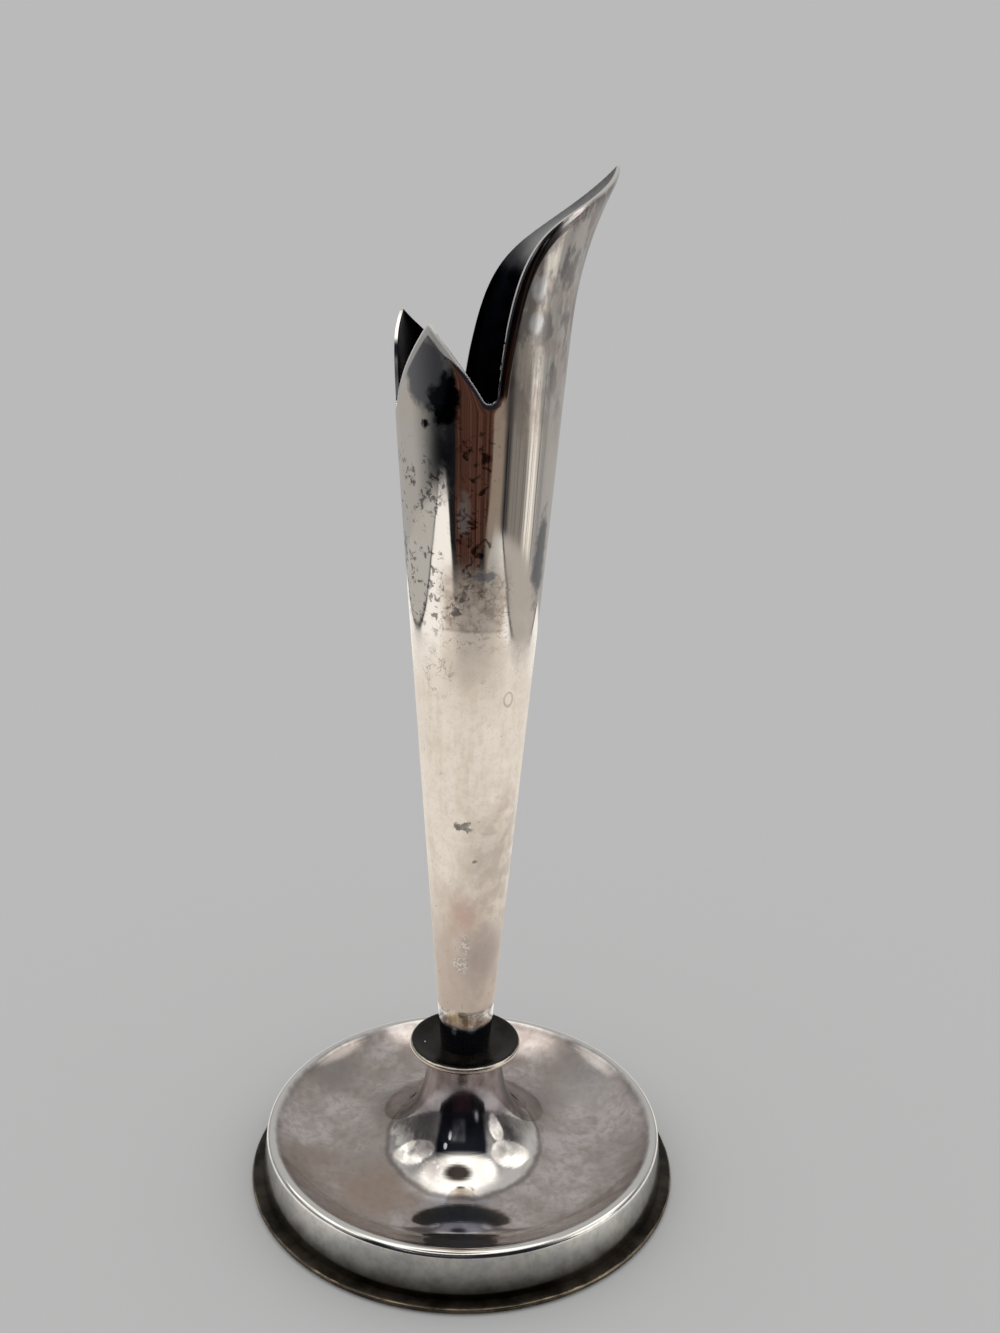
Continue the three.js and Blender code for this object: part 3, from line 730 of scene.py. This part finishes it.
def felt_material(finish):
    """Pressed wool: a mat of fine fibres with lint."""
    coat = Coat("felt", finish.felt)
    mat = coat.where.noise(Scale=2600.0, Detail=6.0, Distortion=1.2)
    coat.lay(coat.cloud(160, 0.35, 0.7), (0.048, 0.078, 0.056))
    coat.tone = mat.mix((0.016, 0.03, 0.02), coat.tone)
    coat.lay(coat.group("Specks", coat.where, 1500, 0.22, 0.55, 220), (0.30, 0.31, 0.28))
    coat.shader.inputs["Sheen Weight"].default_value = 0.4
    return coat.finish(mat.between(1.0, 0.86), 0.0, mat, 0.7, 0.0004)


def wrapped(angle):
    """An angle between minus and plus half a turn."""
    return (angle + math.pi) % math.tau - math.pi


def petals(sizes):
    """Each petal's tip, rise and two edges. An edge has its reach, its valley's depth, its slope and its lateness."""
    half, back_half = sizes.valley_width / 2, sizes.back_width / 2
    tall_before = (math.tau - sizes.front_valley - half, 0.0, 0.374, 9.8)
    tall_after = (sizes.rear_valley - half, 0.0, 0.506, 7.7)
    rear_before = (sizes.rear_tip - sizes.rear_valley - half, 0.0, 0.55, 6)
    rear_after = (sizes.back_valley - sizes.rear_tip - back_half, sizes.back_depth, 0.45, 5)
    front_before = (sizes.front_tip - sizes.back_valley - back_half, sizes.back_depth, 1.0, 1)
    front_after = (sizes.front_valley - sizes.front_tip - half, 0.0, 0.88, 3)
    return (
        (0.0, sizes.tall_rise, tall_before, tall_after),
        (sizes.rear_tip, sizes.rear_rise, rear_before, rear_after),
        (sizes.front_tip, sizes.front_rise, front_before, front_after),
    )


def valley_floor(sizes, direction):
    """Height of the floor of the nearest valley."""
    valleys = ((sizes.rear_valley, 0.0), (sizes.back_valley, sizes.back_depth), (sizes.front_valley, 0.0))
    return sizes.mouth_height - min(valleys, key=lambda valley: abs(wrapped(direction - valley[0])))[1]


def rim_height(sizes, direction):
    """Height of the mouth's edge in a direction: the highest petal there, or the valley floor."""
    edges = [valley_floor(sizes, direction)]
    for tip, rise, before, after in petals(sizes):
        turned = wrapped(direction - tip)
        reach, depth, slope, lateness = before if turned < 0 else after
        part = abs(turned) / reach
        edges.append(sizes.mouth_height + rise - (rise + depth) * (slope * part + (1 - slope) * part ** lateness))
    return max(edges)


def mouth_rim(sizes, run):
    """Heights of the mouth's edge all round, with its valleys rounded so that a disc fits in them."""
    heights = [rim_height(sizes, math.tau * i / RIM_SAMPLES) for i in range(RIM_SAMPLES)]
    reach = int(sizes.valley_round / run)
    disc = [(i, math.sqrt(sizes.valley_round ** 2 - (run * i) ** 2)) for i in range(-reach, reach + 1)]
    centres = [max(heights[(k + i) % RIM_SAMPLES] + rise for i, rise in disc) for k in range(RIM_SAMPLES)]
    return [min(centres[(k + i) % RIM_SAMPLES] - rise for i, rise in disc) for k in range(RIM_SAMPLES)]


def bunched(rim, run, columns):
    """Places of the columns among the rim's samples, closer together where the rim is steep."""
    weights = [1 + min(abs(high - low) / run, STEEPEST_RIM) / 2 for low, high in zip(rim, rim[1:] + rim[:1])]
    goal = sum(weights) / columns
    places, total = [], 0.0
    for i, weight in enumerate(weights):
        while len(places) < columns and goal * len(places) < total + weight:
            places.append(i + (goal * len(places) - total) / weight)
        total += weight
    return places


def rim_at(rim, place):
    """Height of the rim at a place between its samples."""
    before = int(place)
    low, high = rim[before % RIM_SAMPLES], rim[(before + 1) % RIM_SAMPLES]
    return low + (place - before) * (high - low)


def rim_points(rim, run):
    """A search tree of closely set points along the unrolled rim."""
    points = []
    for i in range(-RIM_SAMPLES // 4, RIM_SAMPLES + RIM_SAMPLES // 4):
        low, high = rim[i % RIM_SAMPLES], rim[(i + 1) % RIM_SAMPLES]
        steps = 1 + int(abs(high - low) / run)
        points += [((i + k / steps) * run, low + (high - low) * k / steps, 0) for k in range(steps)]
    tree = KDTree(len(points))
    for i, point in enumerate(points):
        tree.insert(point, i)
    tree.balance()
    return tree


def lip_inset(sizes, distance, direction, height):
    """How far the lip draws in at a distance from the edge, more on the tall petal than on the short ones."""
    inside = max(sizes.lip_round * math.sin(sizes.lip_angle) - distance, 0)
    on_tall = (sizes.tall_half - abs(wrapped(direction))) / LIP_CHANGE
    on_tall = min(on_tall, (height - sizes.mouth_height) / sizes.lip_growth)
    return (sizes.lip_round - math.sqrt(sizes.lip_round ** 2 - inside ** 2)) * min(max(on_tall, sizes.short_lip), 1)


def trumpet_radius(sizes, height):
    """Outer radius of the trumpet at a height, below its rolled lip."""
    straight = sizes.foot_radius + sizes.taper * height
    waist = sizes.waist_depth * math.exp(-((height - sizes.mouth_height - sizes.waist_height) / sizes.waist_span) ** 2)
    leaning = (height - sizes.mouth_height - sizes.flare_start) / (sizes.tall_rise - sizes.flare_start)
    return straight - waist + sizes.flare_reach * max(leaning, 0) ** sizes.flare_power


class BUDVASE_OT_trumpet(bpy.types.Operator):
    """Draws a sleeve up to the petal rim and the flare, and gives it its wall"""

    bl_idname = "budvase.trumpet"
    bl_label = "Trumpet"

    def execute(self, context):
        sizes, finish = context.scene.bud_vase_trumpet, context.scene.bud_vase_finish
        deselect()
        bpy.ops.mesh.primitive_cylinder_add(
            vertices=sizes.columns, radius=sizes.foot_radius, depth=1, end_fill_type="NOTHING", location=ORIGIN
        )
        piece = named("trumpet")

        def upright(ends):
            low, high = (piece.data.vertices[i].co.z for i in ends)
            return abs(high - low) > 0.5

        choose_edges(piece, upright)
        with editing():
            bpy.ops.mesh.subdivide(number_cuts=sizes.rings - 1)
        ends = self.draw_sleeve(piece, sizes)
        piece.data.materials.append(trumpet_material(finish))
        piece.data.materials.append(inside_material(finish))
        self.line_sleeve(piece, sizes.wall, ends)
        dressed(piece, "trumpet_plate", "trumpet_body")
        return {"FINISHED"}

    def draw_sleeve(self, piece, sizes):
        """Moves the sleeve's grid, which reaches from -0.5 to 0.5, to the trumpet's form. Gives its two end rings."""
        run = math.tau / RIM_SAMPLES * trumpet_radius(sizes, sizes.mouth_height)
        rim = mouth_rim(sizes, run)
        places = bunched(rim, run, sizes.columns)
        nearest = rim_points(rim, run)
        gaps, ends = [], set()
        for vertex in piece.data.vertices:
            turned = math.atan2(vertex.co.y, vertex.co.x) / math.tau
            place = places[round(turned * sizes.columns) % sizes.columns]
            direction = math.tau * place / RIM_SAMPLES
            height = rim_at(rim, place) * (1 - (0.5 - vertex.co.z) ** RING_BUNCHING)
            gaps.append(nearest.find((place * run, height, 0))[2])
            radius = trumpet_radius(sizes, height) - lip_inset(sizes, gaps[-1], direction, height)
            if abs(vertex.co.z) == 0.5:
                ends.add(vertex.index)
            vertex.co = (radius * math.cos(direction), radius * math.sin(direction), TRUMPET_SEAT + height)
        piece.data.attributes.new(RIM_GAP, "FLOAT", "POINT").data.foreach_set("value", gaps)
        return ends

    def line_sleeve(self, piece, wall, ends):
        """Gives the sleeve an inner skin and closes its mouth and its foot."""
        with editing("SELECT"):
            bpy.ops.mesh.normals_make_consistent(inside=False)
            bpy.ops.mesh.duplicate()
        outer = len(piece.data.vertices) // 2
        for polygon in piece.data.polygons:
            polygon.material_index = int(min(polygon.vertices) >= outer)
        choose_edges(piece, ends.issuperset)
        with editing():
            bpy.ops.mesh.extrude_edges_indiv()
        for vertex in piece.data.vertices[outer:]:
            vertex.co -= wall * Vector((vertex.co.x, vertex.co.y, 0)).normalized()
        with editing("SELECT"):
            bpy.ops.mesh.remove_doubles(threshold=MERGE_GAP)
            bpy.ops.mesh.normals_make_consistent(inside=False)


class BUDVASE_OT_base(bpy.types.Operator):
    """Spins the bell, dish, shoulder and skirt as one sheet"""

    bl_idname = "budvase.base"
    bl_label = "Spun base"

    def execute(self, context):
        sizes = context.scene.bud_vase_base
        neck = (sizes.neck_radius, sizes.height - sizes.neck_round)
        dish = sizes.shoulder_height - sizes.dish_depth
        low = (sizes.dish_radius, dish)
        slope, rounding = sizes.dish_wall_angle, sizes.shoulder_round
        shoulder = (sizes.skirt_radius - sizes.skirt_draft - rounding, sizes.shoulder_height - rounding)
        top = (shoulder[0] - rounding * math.sin(slope), shoulder[1] + rounding * math.cos(slope))
        wall = (top[0] - sizes.dish_wall_run * math.cos(slope), top[1] - sizes.dish_wall_run * math.sin(slope))
        outline = [Vector((sizes.bolt_hole, sizes.height))]
        outline += arc((sizes.neck_radius - sizes.neck_round, neck[1]), sizes.neck_round, 90, 0, NECK_STEPS)
        outline += sweep(neck, (neck[0], neck[1] - sizes.bell_drop),
                         (sizes.dish_radius - sizes.bell_spread, dish), low, BELL_STEPS)
        outline += sweep(low, (sizes.dish_radius + sizes.dish_level_run, dish), wall, top, DISH_STEPS)
        outline += arc(shoulder, rounding, 90 + math.degrees(slope), 0, SHOULDER_STEPS)
        outline += [Vector((sizes.skirt_radius, sizes.sheet)), Vector((sizes.skirt_radius, 0))]
        piece = spun("base", outline, False, BASE_SEAT, sizes.spin_steps)
        bpy.ops.object.modifier_add(type="SOLIDIFY")
        thick = piece.modifiers[-1]
        thick.thickness, thick.offset, thick.use_even_offset = sizes.sheet, -1.0, True
        bpy.ops.object.modifier_apply(modifier=thick.name)
        dressed(piece, "base_plate", "base_shell", base_material(context.scene.bud_vase_finish))
        return {"FINISHED"}


class BUDVASE_OT_collar(bpy.types.Operator):
    """Spins the saucer collar with its hollow top and round rim"""

    bl_idname = "budvase.collar"
    bl_label = "Saucer collar"

    def execute(self, context):
        sizes = context.scene.bud_vase_base
        hub, rim_top, rounding = sizes.collar_hub, sizes.collar_hub + sizes.collar_dish, sizes.collar_rim / 2
        middle = sizes.collar_radius - rounding
        under_turn = ((sizes.collar_seat + middle) / 2, 0)
        top_turn = ((sizes.collar_floor + middle) / 2, hub)
        under_rim = (middle, rim_top - sizes.collar_rim)
        outline = [Vector((sizes.bolt_hole, 0))]
        outline += sweep((sizes.collar_seat, 0), under_turn, under_turn, under_rim, SAUCER_STEPS)
        outline += arc((middle, rim_top - rounding), rounding, -90, 90, RIM_STEPS)
        outline += sweep((middle, rim_top), top_turn, top_turn, (sizes.collar_floor, hub), SAUCER_STEPS)
        outline += [Vector((sizes.bolt_hole, hub))]
        piece = spun("collar", outline, True, COLLAR_SEAT, sizes.spin_steps)
        dressed(piece, "collar_plate", "collar_disc", collar_material(context.scene.bud_vase_finish))
        return {"FINISHED"}


class BUDVASE_OT_foot_ring(bpy.types.Operator):
    """Spins the thin flange under the skirt"""

    bl_idname = "budvase.foot_ring"
    bl_label = "Foot ring"

    def execute(self, context):
        sizes = context.scene.bud_vase_base
        thick, rounding = sizes.foot_thickness, sizes.foot_thickness / 2
        outline = [Vector((sizes.foot_bore, 0))]
        outline += arc((FOOT_RADIUS - rounding, rounding), rounding, -90, 90, FLANGE_STEPS)
        outline += [Vector((sizes.skirt_radius - sizes.sheet, thick)), Vector((sizes.foot_bore, thick))]
        piece = spun("foot_flange", outline, True, FOOT_SEAT, sizes.spin_steps)
        dressed(piece, "foot_plate", "foot_ring", foot_material())
        return {"FINISHED"}


class BUDVASE_OT_felt(bpy.types.Operator):
    """Cuts the felt disc and rounds its edge"""

    bl_idname = "budvase.felt"
    bl_label = "Felt pad"

    def execute(self, context):
        sizes = context.scene.bud_vase_base
        radius, thick = sizes.felt_radius, sizes.foot_thickness
        edge = FELT_EDGE_SHARE * thick
        outline = [Vector((radius * i / FELT_RINGS, 0)) for i in range(FELT_RINGS)]
        outline += arc((radius - edge, edge), edge, -90, 0, FELT_EDGE_STEPS)
        outline += [Vector((radius, thick)), Vector((0, thick))]
        piece = spun("felt_disc", outline, False, FOOT_SEAT, sizes.spin_steps)
        dressed(piece, "felt", "felt_pad", felt_material(context.scene.bud_vase_finish))
        return {"FINISHED"}


class BUDVASE_OT_inner_parts(bpy.types.Operator):
    """Finishes the plug, the closing plate, the bolt and its washers"""

    bl_idname = "budvase.inner_parts"
    bl_label = "Inner parts"

    def execute(self, context):
        finish = context.scene.bud_vase_finish
        brass = dull_metal("bare_brass", finish.brass, (0.28, 0.19, 0.09), 0.36, 4000)
        steel = dull_metal("bolt_steel", finish.steel, (0.26, 0.25, 0.24), 0.34, 7000)
        for material, names in ((brass, ("trumpet_plug", "closing_plate")),
                                (steel, ("clamp_bolt", "flat_washer", "spring_washer"))):
            for name in names:
                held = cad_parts[name].data.materials
                held.clear()
                held.append(material)
        return {"FINISHED"}


def bearing(x, y):
    """Degrees round from the front of the tent."""
    return x.math("ARCTAN2", y * -1.0).math("DEGREES")


def sheet_glow(where):
    """The tent's floor: a pale sheet that is shaded near the vase, with a seam on each side and the room beyond."""
    x, y, _ = where.split()
    around, span = bearing(x, y), where.vector("LENGTH")
    front = (y * -1.0 / span).ramp(0.55, 0.98)
    near = span.ramp(0.0375, 0.054, front.between(0.17, 0.08), front.between(1.08, 0.42))
    shade = near * span.ramp(0.050, 0.10, 1.0, 1.7) * span.ramp(0.17, 0.25, 1.0, 0.76)
    dim = x.ramp(0.02, 0.15) * span.ramp(0.22, 0.28) * 0.3
    tone = (shade * (1.0 - dim)).mix((0, 0, 0), (1.0, 0.97, 0.93))
    leaning = x - y * 0.335
    tone = leaning.ramp(-0.300, -0.304).mix(tone, (0.48, 0.47, 0.45))
    tone = x.ramp(0.236, 0.238).mix(tone, (0.45, 0.42, 0.39))
    seams = leaning.window(-0.302, 0.0030, 0.005) | x.window(0.237, 0.0028, 0.005)
    tone = seams.mix(tone, (0.03, 0.027, 0.025))
    start = around.ramp(-48, -34, 0.43, 0.268) + around.ramp(14, 30, 0.0, 0.075)
    return (span - start).ramp(0.0, 0.03).mix(tone, room_glow(around, span))


def room_glow(around, span):
    """The room beyond the sheet: a dark doorway with a brown door, two dim posts and a bright slit."""
    streaks = around.noise(Scale=0.35, Detail=3.0)
    tone = (around.ramp(-108, -52) * around.ramp(74, 50)).mix((0.40, 0.39, 0.38), (0.010, 0.011, 0.014))
    tone = around.window(27, 7, 9).mix(tone, (0.27, 0.22, 0.18))
    tone = around.window(62, 10, 8).mix(tone, (0.24, 0.22, 0.20))
    tone = (around + span.ramp(0.45, 1.1, 0.0, 14.0)).window(87, 4, 9).mix(tone, (0.98, 0.93, 0.86))
    bars = streaks.ramp(0.48, 0.60) * around.window(78, 34, 12) * 0.6
    tone = bars.mix(tone, (0.10, 0.095, 0.095))
    brown = streaks.ramp(0.35, 0.65).mix((0.026, 0.010, 0.007), (0.105, 0.050, 0.036))
    away = abs(around + span.ramp(0.28, 0.47, 11.0, 5.0))
    return (away - span.ramp(0.27, 0.40, 17.0, 26.0)).ramp(1.5, -1.5).mix(tone, brown)


def dome_glow(where, grey):
    """The tent's dome: a bright top and soft lamps at the sides, with the dark front where the camera stands."""
    x, y, z = where.split()
    around = bearing(x, y)
    raised = z.math("ARCTAN2", (x ** 2.0 + y ** 2.0).math("SQRT")).math("DEGREES")
    wash = where.noise(Scale=2.2, Detail=4.0)
    uneven = (wash - 0.5) * 1.4

    def lamp(middle, half, rise, tall):
        across, upward = (around - middle) / half, (raised - rise) / tall
        return (across ** 2.0 + upward ** 2.0 + uneven).ramp(1.25, 0.75)

    tone = raised.ramp(5, 25).mix((0.36, 0.35, 0.34), grey)
    beside = around.window(0, 95, 28) * raised.ramp(46, 30) * wash.ramp(0.35, 0.65, 0.35, 0.85)
    tone = beside.mix(tone, (0.16, 0.155, 0.16))
    tone = (around.window(-3, 46, 10) * raised.ramp(50, 42)).mix(tone, (0.012, 0.014, 0.020))
    pillar = around.window(-10, 9, 9) * raised.window(20, 8, 7)
    tone = pillar.mix(tone, wash.ramp(0.4, 0.6).mix((0.05, 0.052, 0.06), (0.14, 0.14, 0.16)))
    lamps = lamp(-89, 32, 40, 13) | lamp(88, 30, 41, 15) | lamp(71, 15, 14, 13)
    tone = lamps.mix(tone, wash.ramp(0.35, 0.6).mix((0.9, 0.88, 0.85), (1.7, 1.67, 1.6)))
    glints = lamp(-35, 3.5, 37, 4) | lamp(-27, 3, 25, 5) | lamp(31, 4, 3, 5)
    tone = glints.mix(tone, (0.75, 0.80, 0.88))
    eaves = abs(around).ramp(40, 140, 47, 60) - around.ramp(50, 90, 0, -8)
    brim = abs(around).ramp(60, 130, 7, 24)
    tone = (raised - eaves).ramp(0, brim).mix(tone, (1.45, 1.42, 1.37))
    side, rise = math.radians(-12), math.radians(72)
    aim = Vector((math.sin(side), -math.cos(side), math.tan(rise))).normalized()
    toward = where.vector("NORMALIZE").vector("DOT_PRODUCT", tuple(aim))
    return toward.ramp(0.965, 0.992).mix(tone, (0.06, 0.05, 0.045))


def rail_glow(where):
    """The low dark rail in front of the vase."""
    tone = where.noise(Scale=90.0, Detail=3.0).mix((0.004, 0.005, 0.007), (0.012, 0.012, 0.016))
    return where.split()[0].window(-0.006, 0.020, 0.009).mix(tone, (0.034, 0.019, 0.026))


def tent_wall(made, turned, name, paint):
    """Turns a wall of the tent with the camera, lets it glow, and shows it to reflections alone."""
    material = bpy.data.materials.new(name)
    tree, surface = fresh_tree(material)
    tone = paint(node(tree, "ShaderNodeTexCoord", None, "Object"))
    join(surface, node(tree, "ShaderNodeEmission", {"Color": tone, "Strength": 1.0}))
    made.matrix_world = Matrix.Rotation(turned, 4, "Z")
    made.data.materials.append(material)
    made.visible_camera = made.visible_diffuse = made.visible_shadow = made.visible_transmission = False


def card(name, low, high):
    """A flat card between two corners of the tent, in millimetres."""
    deselect()
    bpy.ops.mesh.primitive_plane_add(size=1, location=ORIGIN)
    made = named(name)
    corners = Vector(low) / 1000, Vector(high) / 1000
    flat = min(range(3), key=lambda i: high[i] - low[i])
    first, second = [i for i in range(3) if i != flat]
    for vertex, (u, v) in zip(made.data.vertices, ((0, 0), (1, 0), (0, 1), (1, 1))):
        point = corners[0].copy()
        point[first], point[second] = corners[u][first], corners[v][second]
        vertex.co = point
    return made


class BUDVASE_OT_stage(bpy.types.Operator):
    """Sets the floor, the light tent, the soft light and the camera"""

    bl_idname = "budvase.stage"
    bl_label = "Stage"

    def execute(self, context):
        stage = context.scene.bud_vase_stage
        self.floor(stage)
        self.tent(stage)
        self.world(context, stage)
        self.camera(context, stage)
        context.scene.view_settings.view_transform = "Standard"
        return {"FINISHED"}

    def floor(self, stage):
        """A matte floor that is clear from below."""
        deselect()
        bpy.ops.mesh.primitive_plane_add(size=stage.floor_size, location=(0, 0, FOOT_SEAT - stage.floor_drop))
        made = named("floor")
        material = bpy.data.materials.new("floor")
        tree, surface = fresh_tree(material)
        under = node(tree, "ShaderNodeNewGeometry", None, "Backfacing")
        matte = node(tree, "ShaderNodeBsdfDiffuse", {"Color": stage.grey})
        clear = node(tree, "ShaderNodeBsdfTransparent")
        join(surface, node(tree, "ShaderNodeMixShader", {0: under, 1: matte, 2: clear}))
        made.data.materials.append(material)

    def tent(self, stage):
        """The walls that the metal mirrors."""
        turned = stage.camera_turn
        floor = card("tent_floor", (-TENT_HALF, -TENT_HALF, -0.1), (TENT_HALF, TENT_HALF, -0.1))
        tent_wall(floor, turned, "tent_sheet", sheet_glow)
        tent_wall(card("tent_rail", (-96, -60, 0), (77, -60, 14.5)), turned, "tent_rail", rail_glow)
        deselect()
        bpy.ops.mesh.primitive_uv_sphere_add(segments=96, ring_count=48, radius=DOME_RADIUS, location=ORIGIN)
        tent_wall(named("tent_dome"), turned, "tent_dome", lambda where: dome_glow(where, stage.grey))

    def world(self, context, stage):
        """Soft white light from all round, behind a grey that the camera and reflections see."""
        context.scene.world = bpy.data.worlds.new("studio")
        tree, surface = fresh_tree(context.scene.world, "ShaderNodeOutputWorld")
        rays = tree.nodes.new("ShaderNodeLightPath").outputs
        seen = Field(rays["Is Camera Ray"]) | Field(rays["Is Glossy Ray"]) | Field(rays["Is Transmission Ray"])
        fill = node(tree, "ShaderNodeBackground", {"Color": (1, 1, 1), "Strength": stage.fill})
        back = node(tree, "ShaderNodeBackground", {"Color": stage.grey, "Strength": 1.0})
        join(surface, node(tree, "ShaderNodeMixShader", {0: seen, 1: fill, 2: back}))

    def camera(self, context, stage):
        """The camera, at the place from which the vase is seen."""
        bpy.ops.object.camera_add()
        made = context.object
        made.name = "camera"
        made.data.sensor_width = SENSOR_WIDTH
        made.data.lens = stage.lens
        made.data.clip_start = CLIP_START
        place = Matrix.Translation((0, -stage.camera_distance, stage.camera_height))
        tilt = Matrix.Rotation(math.pi / 2 - stage.camera_pitch, 4, "X")
        turned, yaw, roll = (
            Matrix.Rotation(angle, 4, "Z") for angle in (stage.camera_turn, -stage.camera_yaw, stage.camera_roll)
        )
        made.matrix_world = turned @ place @ (yaw @ tilt) @ roll
        context.scene.camera = made


class BUDVASE_PT_panel(bpy.types.Panel):
    """Lists the vase's steps and sizes in the sidebar"""

    bl_idname = "BUDVASE_PT_panel"
    bl_label = "Bud Vase"
    bl_space_type = "VIEW_3D"
    bl_region_type = "UI"
    bl_category = "Bud Vase"

    def draw(self, context):
        for step in STEPS:
            self.layout.operator(step.bl_idname, text=step.bl_label)
        for holder in PROPERTIES:
            box = self.layout.box()
            group = getattr(context.scene, holder)
            for key in group.__annotations__:
                box.prop(group, key)


STEPS = (BUDVASE_OT_trumpet, BUDVASE_OT_base, BUDVASE_OT_collar, BUDVASE_OT_foot_ring, BUDVASE_OT_felt,
         BUDVASE_OT_inner_parts, BUDVASE_OT_stage)
PROPERTIES = {"bud_vase_trumpet": BudVaseTrumpet, "bud_vase_base": BudVaseBase,
              "bud_vase_finish": BudVaseFinish, "bud_vase_stage": BudVaseStage}


def register():
    for holder, group in PROPERTIES.items():
        bpy.utils.register_class(group)
        setattr(bpy.types.Scene, holder, PointerProperty(type=group))
    for step in (*STEPS, BUDVASE_PT_panel):
        bpy.utils.register_class(step)


def unregister():
    for step in reversed((*STEPS, BUDVASE_PT_panel)):
        bpy.utils.unregister_class(step)
    for holder, group in PROPERTIES.items():
        delattr(bpy.types.Scene, holder)
        bpy.utils.unregister_class(group)


def main():
    register()
    bpy.ops.budvase.trumpet()
    bpy.ops.budvase.base()
    bpy.ops.budvase.collar()
    bpy.ops.budvase.foot_ring()
    bpy.ops.budvase.felt()
    bpy.ops.budvase.inner_parts()
    bpy.ops.budvase.stage()


if __name__ == "__main__":
    main()
